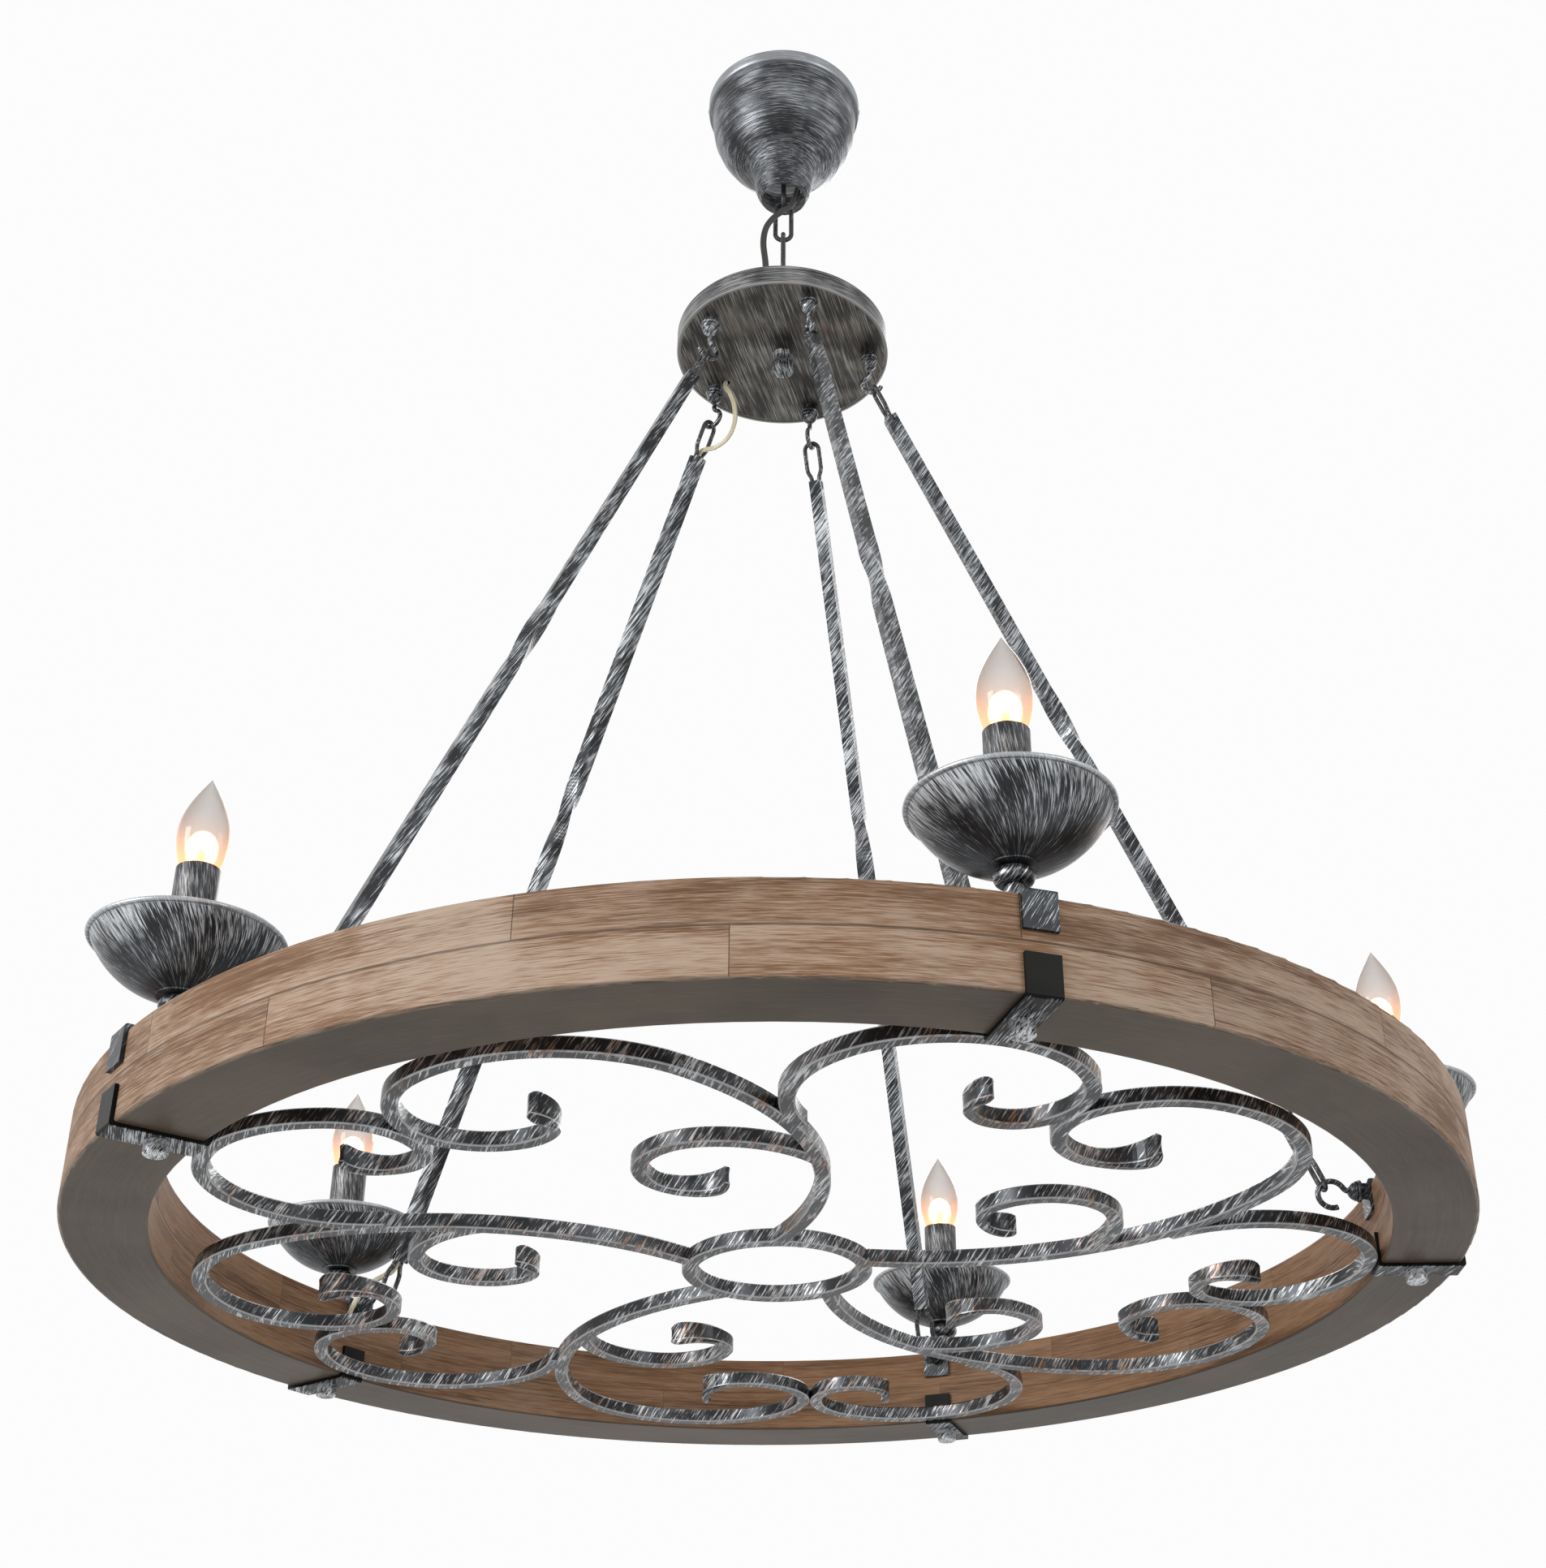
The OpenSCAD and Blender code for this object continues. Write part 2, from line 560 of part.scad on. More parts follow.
eye_bow_z = eye_top - chain_wire / 2 - bow_r;
module hub_eye() color(dark) {
  rotate([0, 0, 90]) {
    translate([0, 0, eye_bow_z])
      rotate([90, 0, 0]) rotate_extrude(angle = 180) translate([bow_r, 0]) wire(chain_wire);
    for (s = [-1, 1])
      translate([s * bow_r, 0, hub_top + 3.9 + bow_r])
        cylinder(d = chain_wire, h = eye_bow_z - hub_top - 3.9 - bow_r, $fn = 32);
    translate([0, 0, hub_top + 3.9 + bow_r])
      rotate([-90, 0, 0]) rotate_extrude(angle = 180) translate([bow_r, 0]) wire(chain_wire);
  }
  translate([0, 0, hub_top]) cylinder(d = shank_d + 4, h = 5, $fn = 48);
  translate([0, 0, plate_z - 10]) cylinder(d = shank_d, h = hub_top - plate_z + 12, $fn = 48);
}

module hub_knob() color(metal)
  translate([0, 0, plate_z - knob_h])
    difference() {
      rotate_extrude()
        difference() {
          square([knob_d / 2, knob_h]);
          translate([knob_d / 2 + 4.5, knob_h / 2 + 3.2]) circle(r = 7.6, $fn = 64);
          translate([knob_d / 2 - 1, knob_h / 2 + 3.2]) square([4, knob_h]);
        }
      translate([0, 0, knob_h - 11]) cylinder(d = shank_d + 0.1, h = 12, $fn = 48);
    }

// Turned boss of a hook, standing on z = 0 and pointing up
module turned_boss(h) {
  b = boss_d / 2;
  cylinder(r = b * 0.72, h = h * 0.5, $fn = 64);
  translate([0, 0, h * 0.34]) torus(b * 0.78, b * 0.2);
  translate([0, 0, h * 0.34]) cylinder(r = b * 0.78, h = h * 0.3, $fn = 64);
  translate([0, 0, h * 0.52]) torus(b * 0.72, b * 0.16);
  intersection() {
    translate([0, 0, h - b * 0.82]) sphere(r = b * 0.82, $fn = 64);
    translate([0, 0, h * 0.55]) cylinder(r = b, h = h, $fn = 64);
  }
}

module hub_hooks() color(metal)
  for (k = [1:arms]) around(k)
    translate([hub_hook_r, 0, plate_z]) {
      rotate([180, 0, 0]) turned_boss(boss_h);
      rotate([90, 0, 0]) translate([0, -boss_h + 1.5, 0])
        wire_path([0, 0, -90], [[0, hub_hook_neck + 1.5], [s_bend_r, -hook_out],
                                [hub_bend_r, hook_out + 165]], hook_wire);
      translate([0, 0, -1]) cylinder(d = shank_d, h = plate_t + 10, $fn = 48);
      translate([0, 0, plate_t]) nut(10, 5);
    }

// --- Rods, in a frame whose origin is the hub hook's wire and whose -Z runs down the rod
rod_top_s = top_loop_l;
rod_bottom_s = rod_pivots - bottom_loop_l;
bar_l = rod_bottom_s - rod_top_s;
twist_top_s = rod_top_s + bar_l * twist_at - twist_l / 2;
leg_in = rod_side / 2 - loop_wire / 2 - 0.1;
loop_r0 = (loop_w - loop_wire) / 2;
wire_rest = (hook_wire + loop_wire) / 2 + wire_gap;
jog = acos(1 - (loop_r0 - leg_in) / 2 / 12);
jog_l = 2 * 12 * sin(jog);

leg_l = 7;
leg_slot = loop_wire + 0.1;

// A loop: its two legs lie in slots across the tube's end
module loop(reach) {
  side = reach - jog_l - 1 + wire_rest - loop_r0;
  wire_path([-leg_in, -reach - leg_l, 90],
            [[0, leg_l + 1], [12, jog], [12, -jog], [0, side], [loop_r0, -180],
             [0, side], [12, -jog], [12, jog], [0, leg_l + 1]], loop_wire);
}
module hung(k) around(k) translate([rod_top_x, 0, rod_top_z]) rotate([0, -lean, 0]) children();

module rod(k) color(metal)
  hung(k) difference() {
    union() {
      translate([-rod_side / 2, -rod_side / 2, -twist_top_s])
        cube([rod_side, rod_side, twist_top_s - rod_top_s]);
      translate([0, 0, -twist_top_s - twist_l])
        linear_extrude(twist_l, twist = 90, slices = 24, segments = 4)
          square(rod_side, center = true);
      translate([-rod_side / 2, -rod_side / 2, -rod_bottom_s])
        cube([rod_side, rod_side, rod_bottom_s - twist_top_s - twist_l]);
    }
    translate([0, 0, -rod_bottom_s - 1]) cylinder(d = rod_bore, h = bar_l + 2, $fn = 64);
    for (z = [-rod_top_s - leg_l, -rod_bottom_s - 1])
      translate([-leg_slot / 2, -rod_side / 2 - 1, z]) cube([leg_slot, rod_side + 2, leg_l + 1]);
  }
module rod_1() rod(1);
module rod_2() rod(2);
module rod_3() rod(3);
module rod_4() rod(4);
module rod_5() rod(5);

module rod_loops(k) color(metal)
  hung(k) {
    rotate([0, 0, 90]) rotate([90, 0, 0]) loop(top_loop_l);
    translate([0, 0, -rod_pivots])
      rotate([180, 0, 0]) rotate([0, 0, 90]) rotate([90, 0, 0]) loop(bottom_loop_l);
  }
module rod_loops_1() rod_loops(1);
module rod_loops_2() rod_loops(2);
module rod_loops_3() rod_loops(3);
module rod_loops_4() rod_loops(4);
module rod_loops_5() rod_loops(5);

// --- Wires
supply_points = [[11, 0, -crossbar_drop - crossbar_t], [13, 0, -42], [14.3, 0, -72],
  [14, -0.5, -90], [11, -2, -108], [7, -6, -124],
  [0, -9, -134], [-9, -8, -142], [-15, -6, -152], [-17, -5, -168], [-15, -4, -190],
  [-14, -2, -215], [-14, 0, -245], [-14, 0, -272]];
module supply_cord() color([0.12, 0.11, 0.1])
  flat_cord(eased(supply_points, 4), cord_w, cord_t, [0, -1, 0]);

// The clear wire runs in rod 3: [radius, sideways, height] in that rod's own plane
rod_dir = [sin(lean), 0, -cos(lean)];
function on_rod(s) = [rod_top_x, 0, rod_top_z] + s * rod_dir;
wire_in = [[wire_hole_r, 0, plate_z + 6], [wire_hole_r, 0, plate_z - 4], [55, 0, -303],
  [50, 0, -320], [50, 0, -338], [57, 0, -350], [70, 0, -353.5], [84, 0, -350.5]];
wire_out = [[361, 0.5, -1001], [367, 4, -1005], [374, 10, -1011], [381, 14.5, -1021],
  [387, 15.5, -1032], [392, 15, -1039], [397, 15, -1042], [405, 15, -1042]];
module lamp_wire() color([0.8, 0.76, 0.62])
  around(3) flat_cord(concat(eased(concat(wire_in, [on_rod(rod_top_s + 3)]), 3),
      [on_rod(rod_top_s + 12), on_rod(rod_bottom_s - 12)],
      eased(concat([on_rod(rod_bottom_s - 2)], wire_out), 3)), wire_w, wire_t, [0, 1, 0]);

// --- Wheel
module wood_ring() color(wood)
  difference() {
    translate([0, 0, wood_bottom])
      rotate_extrude($fn = 240) translate([wood_ri, 0]) {
        translate([0, wood_edge]) square([wood_w, wood_h - 2 * wood_edge]);
        translate([wood_edge, 0]) square([wood_w - 2 * wood_edge, wood_h]);
        for (x = [wood_edge, wood_w - wood_edge], y = [wood_edge, wood_h - wood_edge])
          translate([x, y]) circle(r = wood_edge, $fn = 32);
      }
    for (k = [1:arms]) around(k) {
      translate([lamp_r, 0, wood_bottom - 1])
        cylinder(d = bolt_d + 2 * bolt_gap, h = wood_h + 2, $fn = 48);
      translate([wood_ri - 2, 0, wheel_hook_z])
        rotate([0, 90, 0]) cylinder(d = shank_d + 0.2, h = 13, $fn = 48);
      translate([wood_ri - 2, -shank_d / 2 - 0.1, wheel_hook_z]) cube([13, shank_d + 0.2, shank_d]);
    }
    around(3) translate([wood_ri - 2, wire_out[7][1], wire_out[7][2]])
      rotate([0, 90, 0]) cylinder(d = wire_w + 1.6, h = 20, $fn = 48);
  }

// Strap bracket: a U of flat strap, legs down, standing on z = 0
module strap_u(outer, inner)
  rotate([90, 0, 0])
    translate([0, 0, -strap_w / 2])
      linear_extrude(strap_w)
        difference() {
          union() {
            translate([leg_ri + 2, 0]) square([wheel_r + strap_t - leg_ri - 4, strap_t]);
            translate([leg_ri, -inner]) square([strap_t, inner + strap_t - 2]);
            translate([wheel_r, -outer]) square([strap_t, outer + strap_t - 2]);
            translate([leg_ri + 2, strap_t - 2]) circle(r = 2, $fn = 48);
            translate([wheel_r + strap_t - 2, strap_t - 2]) circle(r = 2, $fn = 48);
          }
          translate([leg_ro, -outer - inner - 2])
            square([wheel_r - leg_ro, outer + inner + 2]);
        }
module upper_brackets() color(metal)
  for (k = [1:arms]) around(k) translate([0, 0, wood_top])
    difference() {
      strap_u(outer_leg, inner_leg);
      translate([lamp_r, 0, -2]) cylinder(d = bolt_d + 0.2, h = strap_t + 4, $fn = 48);
      translate([leg_ri - 2, 0, wheel_hook_z - wood_top])
        rotate([0, 90, 0]) cylinder(d = shank_d + 0.2, h = strap_t + 4, $fn = 48);
    }
module lower_brackets() color(dark)
  for (k = [1:arms]) around(k) translate([0, 0, wood_bottom])
    difference() {
      mirror([0, 0, 1]) strap_u(outer_leg + 1, inner_leg + 1);
      translate([lamp_r, 0, -strap_t - 2])
        cylinder(d = bolt_d + 0.2, h = strap_t + 4, $fn = 48);
    }

module wheel_hooks() color(metal)
  for (k = [1:arms]) around(k)
    translate([leg_ri, 0, wheel_hook_z]) {
      rotate([0, -90, 0]) turned_boss(wheel_boss_h);
      rotate([90, 0, 0]) translate([-wheel_boss_h + 1.8, 0, 0])
        wire_path([0, 0, 180], [[s_bend_r, -hook_out], [wheel_bend_r, hook_out + 200]],
                  hook_wire);
      translate([-2, 0, 0]) rotate([0, 90, 0])
        cylinder(d = shank_d, h = strap_t + 11, $fn = 48);
    }

module bracket_bolts() color(metal)
  for (k = [1:arms]) around(k) translate([lamp_r, 0, 0]) {
    translate([0, 0, strap_bottom - bolt_head_h + 1])
      cylinder(d = bolt_head_d, h = bolt_head_h - 1, $fn = 64);
    translate([0, 0, strap_bottom - bolt_head_h])
      cylinder(d1 = bolt_head_d - 2, d2 = bolt_head_d, h = 1, $fn = 64);
    translate([0, 0, strap_bottom - 0.5])
      cylinder(d = bolt_d, h = strap_top - strap_bottom + 10.5, $fn = 48);
  }

module centre_ring() color(metal)
  translate([0, 0, bar_z])
    rotate_extrude($fn = 180) translate([centre_ring_r, 0]) bar_section();

module scroll_arm(k) color(metal)
  around(k) translate([0, 0, bar_z])
    difference() {
      union() {
        bar_path(arm_p0, arm_segs);
        hammered_tip(walk(arm_p0, arm_segs, 4), arm_tip, tip_h);
        bar_path(branch_p0, branch_segs);
        hammered_tip(walk(branch_p0, branch_segs, 2), branch_tip, small_tip_h);
        bar_path(scroll_p0, scroll_segs);
        hammered_tip(walk(scroll_p0, scroll_segs, 3), scroll_tip, small_tip_h);
      }
      translate([0, 0, -bar]) cylinder(r = centre_ring_r + bar / 2, h = 2 * bar, $fn = 180);
    }
module scroll_arm_1() scroll_arm(1);
module scroll_arm_2() scroll_arm(2);
module scroll_arm_3() scroll_arm(3);
module scroll_arm_4() scroll_arm(4);
module scroll_arm_5() scroll_arm(5);

// --- Lamps
module at_lamp(k) around(k) translate([lamp_r, 0, 0]) children();

// Spun bowl with a rolled rim and a flat seat in the middle
module cup(k) color(metal)
  at_lamp(k) translate([0, 0, cup_bottom])
    difference() {
      union() {
        rotate_extrude($fn = 120)
          intersection() {
            translate([0, cup_ball])
              difference() {
                circle(r = cup_ball, $fn = 240);
                circle(r = cup_ball - cup_wall, $fn = 240);
              }
            square([cup_r, cup_h - 1]);
          }
        translate([0, 0, 0.6]) cylinder(r = cup_seat_r, h = cup_seat - 0.6, $fn = 96);
        translate([0, 0, cup_h - rim_roll]) torus(cup_r - rim_roll, rim_roll);
      }
      translate([0, 0, -2]) cylinder(d = stem_d + 0.2, h = 6, $fn = 48);
    }
module cup_1() cup(1);
module cup_2() cup(2);
module cup_3() cup(3);
module cup_4() cup(4);
module cup_5() cup(5);

bead_h = 10;
module lamp_stems() color(metal)
  for (k = [1:arms]) at_lamp(k) translate([0, 0, strap_top])
    difference() {
      union() {
        cylinder(d = 17, h = 2.5, $fn = 64);
        translate([0, 0, 2.5]) cylinder(d1 = 15, d2 = 11, h = 3, $fn = 64);
        cylinder(d = 11, h = stem_h - bead_h / 2, $fn = 64);
        translate([0, 0, stem_h - bead_h / 2])
          rotate_extrude($fn = 64)
            rounded_bead(bead_d / 2, bead_h);
        cylinder(d = stem_d, h = stem_h + cup_seat + 11, $fn = 48);
      }
      translate([0, 0, -1]) cylinder(d = bolt_d + 0.2, h = 12.5, $fn = 48);
    }
module rounded_bead(r, h) {
  translate([0, -h / 2]) square([r - h / 2, h]);
  intersection() {
    translate([r - h / 2, 0]) circle(d = h, $fn = 48);
    translate([r - h / 2 - 0.01, -h / 2]) square([h, h]);
  }
}

module lampholders() color([0.12, 0.12, 0.12])
  for (k = [1:arms]) at_lamp(k)
    difference() {
      translate([0, 0, cup_floor]) cylinder(r = holder_r, h = holder_top - cup_floor, $fn = 64);
      translate([0, 0, cup_floor - 1]) cylinder(d = stem_d + 0.2, h = 12.5, $fn = 48);
      translate([0, 0, socket_floor]) cylinder(d = cap_d + 2 * cap_gap, h = 60, $fn = 64);
    }

module candle_sleeve(k) color([0.9, 0.88, 0.82])
  at_lamp(k) translate([0, 0, cup_floor])
    difference() {
      cylinder(d = sleeve_d, h = sleeve_l, $fn = 96);
      translate([0, 0, -1]) cylinder(d = sleeve_d - 2 * sleeve_wall, h = sleeve_l + 2, $fn = 96);
    }
module candle_sleeve_1() candle_sleeve(1);
module candle_sleeve_2() candle_sleeve(2);
module candle_sleeve_3() candle_sleeve(3);
module candle_sleeve_4() candle_sleeve(4);
module candle_sleeve_5() candle_sleeve(5);

module bulb_cap(k) color([0.8, 0.7, 0.45])
  at_lamp(k) {
    translate([0, 0, cap_bottom + 4]) cylinder(d = cap_d, h = glass_bottom - cap_bottom - 4, $fn = 64);
    translate([0, 0, cap_bottom]) cylinder(d1 = cap_d * 0.5, d2 = cap_d * 0.94, h = 4, $fn = 64);
    translate([0, 0, socket_floor + 0.3]) cylinder(d = 4.6, h = cap_bottom - socket_floor, $fn = 32);
  }
module bulb_cap_1() bulb_cap(1);
module bulb_cap_2() bulb_cap(2);
module bulb_cap_3() bulb_cap(3);
module bulb_cap_4() bulb_cap(4);
module bulb_cap_5() bulb_cap(5);

glass_neck_r = holder_r - 1.4;
glass_line = [for (u = [[0, 0.99], [0.12, 1], [0.26, 0.955], [0.42, 0.83], [0.58, 0.645],
                        [0.73, 0.435], [0.86, 0.24], [0.95, 0.1], [1, 0]])
  [u[1] * bulb_d / 2, sleeve_top + 17 + (bulb_h - 17) * u[0]]];
module bulb_glass(k) color([1, 0.9, 0.75])
  at_lamp(k)
    rotate_extrude($fn = 72)
      polygon(concat([[0, glass_bottom], [cap_d / 2 - 0.5, glass_bottom],
        [glass_neck_r, glass_bottom + 2], [glass_neck_r + 0.5, sleeve_top + 1],
        [bulb_d * 0.41, sleeve_top + 6], [bulb_d * 0.468, sleeve_top + 11]], glass_line));
module bulb_glass_1() bulb_glass(1);
module bulb_glass_2() bulb_glass(2);
module bulb_glass_3() bulb_glass(3);
module bulb_glass_4() bulb_glass(4);
module bulb_glass_5() bulb_glass(5);

canopy();
crossbar();
canopy_screws();
canopy_hook();
link_1();
link_2();
link_3();
link_4();
supply_cord();
hub_drum();
hub_plate();
hub_eye();
hub_knob();
hub_hooks();
rod_1();
rod_2();
rod_3();
rod_4();
rod_5();
rod_loops_1();
rod_loops_2();
rod_loops_3();
rod_loops_4();
rod_loops_5();
lamp_wire();
wood_ring();
upper_brackets();
lower_brackets();
wheel_hooks();
bracket_bolts();
centre_ring();
scroll_arm_1();
scroll_arm_2();
scroll_arm_3();
scroll_arm_4();
scroll_arm_5();
cup_1();
cup_2();
cup_3();
cup_4();
cup_5();
lamp_stems();
lampholders();
candle_sleeve_1();
candle_sleeve_2();
candle_sleeve_3();
candle_sleeve_4();
candle_sleeve_5();
bulb_cap_1();
bulb_cap_2();
bulb_cap_3();
bulb_cap_4();
bulb_cap_5();
bulb_glass_1();
bulb_glass_2();
bulb_glass_3();
bulb_glass_4();
bulb_glass_5();
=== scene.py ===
"""Looks of a wagon wheel chandelier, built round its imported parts.

Every length is in metres, in the parts' own frame: the origin lies on the ceiling, +Z is up and
lamp 1 stands on +X. The metal is black iron dry-brushed with silver, the ring is laminated wood
with a lime wash, and the five bulbs are clear flame bulbs with a warm filament.
"""

import logging
import math
from dataclasses import dataclass
from enum import Enum
from typing import Callable, Optional, Union

import bpy
import numpy as np
from mathutils import Matrix, Vector


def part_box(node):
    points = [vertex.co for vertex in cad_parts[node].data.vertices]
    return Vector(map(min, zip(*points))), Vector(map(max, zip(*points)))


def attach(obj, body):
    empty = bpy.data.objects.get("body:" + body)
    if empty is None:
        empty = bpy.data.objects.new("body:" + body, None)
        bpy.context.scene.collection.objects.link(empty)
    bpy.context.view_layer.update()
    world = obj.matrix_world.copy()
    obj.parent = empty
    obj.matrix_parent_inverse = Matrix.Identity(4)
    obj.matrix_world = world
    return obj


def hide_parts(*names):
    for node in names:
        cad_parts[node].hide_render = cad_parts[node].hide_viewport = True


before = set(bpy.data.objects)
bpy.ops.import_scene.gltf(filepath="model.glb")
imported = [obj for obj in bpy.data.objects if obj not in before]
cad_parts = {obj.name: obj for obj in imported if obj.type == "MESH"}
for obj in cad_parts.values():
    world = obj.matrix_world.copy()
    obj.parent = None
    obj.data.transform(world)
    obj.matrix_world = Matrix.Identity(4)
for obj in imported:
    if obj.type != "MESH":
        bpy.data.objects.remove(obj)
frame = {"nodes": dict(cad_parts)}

logging.basicConfig(level=logging.INFO, format="%(message)s")
log = logging.getLogger("chandelier")

ARMS = 5
LINKS = 4
MM = 0.001
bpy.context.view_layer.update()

Number = Union[int, float]
Faces = list[tuple[int, ...]]
Colour = tuple[float, float, float, float]
Route = list[tuple[float, float, float]]


def lamp_turn(k: int) -> float:
    """Angle of bracket k about the wheel's axis, in radians."""
    return math.radians(72 * (k - 1))


def turned(points: np.ndarray, angle: float) -> np.ndarray:
    """Points turned about the wheel's axis.

    Args:
        points: array of shape (..., 3).
        angle: the turn in radians.

    Returns:
        The turned points, in the same shape.
    """
    c, s = math.cos(angle), math.sin(angle)
    return points @ np.array([[c, s, 0], [-s, c, 0], [0, 0, 1]])


def node_radii(name: str) -> tuple[float, float]:
    """Smallest and largest distance of a part's vertices from the wheel's axis."""
    mesh = frame["nodes"][name].data
    co = np.empty(len(mesh.vertices) * 3, np.float32)
    mesh.vertices.foreach_get("co", co)
    radii = np.hypot(co[0::3], co[1::3])
    return float(radii.min()), float(radii.max())


# --- Shader maths


class Wire:
    """A socket that does arithmetic: each operator adds the Math node that it stands for."""

    def __init__(self, paint: "Paint", socket: bpy.types.NodeSocket) -> None:
        """Keeps the paint that the socket belongs to."""
        self.paint = paint
        self.socket = socket

    def math(self, operation: str, *others: Union["Wire", Number]) -> "Wire":
        """A Math node on this socket and the others, in order."""
        values = {i: v for i, v in enumerate((self, *others))}
        return self.paint.node("ShaderNodeMath", {"operation": operation}, values)

    def _swapped(self, operation: str, first: Number) -> "Wire":
        """A Math node whose first value is the number and whose second is this socket."""
        return self.paint.node("ShaderNodeMath", {"operation": operation}, {0: first, 1: self})

    def __add__(self, other: Union["Wire", Number]) -> "Wire":
        """Sum."""
        return self.math("ADD", other)

    __radd__ = __add__

    def __sub__(self, other: Union["Wire", Number]) -> "Wire":
        """Difference."""
        return self.math("SUBTRACT", other)

    def __rsub__(self, other: Number) -> "Wire":
        """Number minus socket."""
        return self._swapped("SUBTRACT", other)

    def __mul__(self, other: Union["Wire", Number]) -> "Wire":
        """Product."""
        return self.math("MULTIPLY", other)

    __rmul__ = __mul__

    def __truediv__(self, other: Union["Wire", Number]) -> "Wire":
        """Quotient."""
        return self.math("DIVIDE", other)

    def __pow__(self, other: Number) -> "Wire":
        """Power."""
        return self.math("POWER", other)

    def over(self, low: Number, high: Number) -> "Wire":
        """Smooth step from 0 at low to 1 at high; low may be the larger."""
        return self.paint.node(
            "ShaderNodeMapRange",
            {"interpolation_type": "SMOOTHSTEP"},
            {"Value": self, "From Min": low, "From Max": high, "To Min": 0.0, "To Max": 1.0},
        )


class Paint:
    """One material in the making, with its principled shader."""

    def __init__(self, name: str, **constants: Union[Number, Colour]) -> None:
        """Starts a material.

        Args:
            name: the material's name.
            constants: values on the shader's own sockets, with _ for a space in their names.
        """
        self.material = bpy.data.materials.new(name)
        self.material.use_nodes = True
        self.tree = self.material.node_tree
        self.shader = self.tree.nodes["Principled BSDF"]
        for socket, value in constants.items():
            self.shader.inputs[socket.replace("_", " ")].default_value = value

    def node(
        self,
        kind: str,
        settings: Optional[dict] = None,
        values: Optional[dict] = None,
        out: Union[int, str] = 0,
    ) -> Wire:
        """Adds a node.

        Args:
            kind: the node's type.
            settings: its properties, set before its sockets.
            values: a number, colour or Wire for each socket, by name or place.
            out: the output to use.

        Returns:
            That output as a Wire.
        """
        made = self.tree.nodes.new(kind)
        for key, value in (settings or {}).items():
            setattr(made, key, value)
        for key, value in (values or {}).items():
            if isinstance(value, Wire):
                self.tree.links.new(value.socket, made.inputs[key])
            else:
                made.inputs[key].default_value = value
        return Wire(self, made.outputs[out])

    def place(
        self, centre: tuple[float, float, float] = (0.0, 0.0, 0.0)
    ) -> tuple[Wire, Wire, Wire]:
        """Object coordinates from a centre, as three sockets."""
        there = self.node("ShaderNodeTexCoord", out="Object")
        parts = [
            self.node("ShaderNodeSeparateXYZ", values={0: there}, out=axis)
            for axis in ("X", "Y", "Z")
        ]
        return tuple(p - c if c else p for p, c in zip(parts, centre))

    def vector(
        self, x: Union[Wire, Number], y: Union[Wire, Number], z: Union[Wire, Number]
    ) -> Wire:
        """Three values as one vector."""
        return self.node("ShaderNodeCombineXYZ", values={0: x, 1: y, 2: z})

    def noise(
        self, where: Wire, scale: float = 1.0, detail: float = 2.0, rough: float = 0.5
    ) -> Wire:
        """Soft noise from 0 to 1 at a vector."""
        return self.node(
            "ShaderNodeTexNoise",
            {"noise_dimensions": "3D"},
            {"Vector": where, "Scale": scale, "Detail": detail, "Roughness": rough},
        )

    def mix(self, mask: Wire, low: Union[Wire, Colour], high: Union[Wire, Colour]) -> Wire:
        """Colour that goes from low at mask 0 to high at mask 1."""
        return self.node("ShaderNodeMix", {"data_type": "RGBA"}, {0: mask, 6: low, 7: high}, out=2)

    def feed(self, **wires: Wire) -> None:
        """Joins sockets to the shader's inputs, with _ for a space in their names."""
        for socket, wire in wires.items():
            self.tree.links.new(wire.socket, self.shader.inputs[socket.replace("_", " ")])

    def relief(self, height: Wire, depth: float, strength: float = 1.0) -> None:
        """Raises the surface by a height map, depth metres from 0 to 1."""
        bump = self.node(
            "ShaderNodeBump", values={"Height": height, "Distance": depth, "Strength": strength}
        )
        self.feed(Normal=bump)


# --- Finishes

Mask = Callable[[Wire, Wire, Wire], Wire]


def height_mask(start: float, full: float, strength: float) -> Mask:
    """A mask that goes from 0 at one height to its strength at another.

    Args:
        start: the height where it is 0.
        full: the height where it is whole; it may be the lower of the two.
        strength: its value there.

    Returns:
        The mask, as a function of the place.
    """
    return lambda x, y, z: z.over(start, full) * strength


def darker(colour: Colour, factor: float) -> Colour:
    """The colour times a factor, its last value kept."""
    return tuple(c * factor for c in colour[:3]) + (1.0,)


class Strokes(Enum):
    """How the dry brush ran over a part."""

    PLATE = "nearly straight across the hub's plate"
    GRILLE = "slantwise over the flat scrolls"
    BAR = "slantwise along the rods"
    AROUND = "round the axis"
    UPWARD = "from the foot to the rim of a turned piece, a little spiral"


# for each straight brush: the way that it ran, and the direction in which its strokes are thin
BRUSH_WAY = {
    Strokes.PLATE: ((-0.24, -0.97, 0.0), (0.97, -0.24, 0.0)),
    Strokes.GRILLE: ((0.28, -0.96, 0.0), (-0.96, -0.28, 0.576)),
    Strokes.BAR: ((0.55, -0.10, 0.83), (0.80, 0.35, -0.49)),
}


DEPTH_SHARE = 0.7  # a stroke's depth as a share of its length
LONG_STROKES = 3.2  # strokes in a sixth of a turn, where the brush ran round the axis
MEAN_RADIUS = 0.040  # of the turned pieces brushed upwards


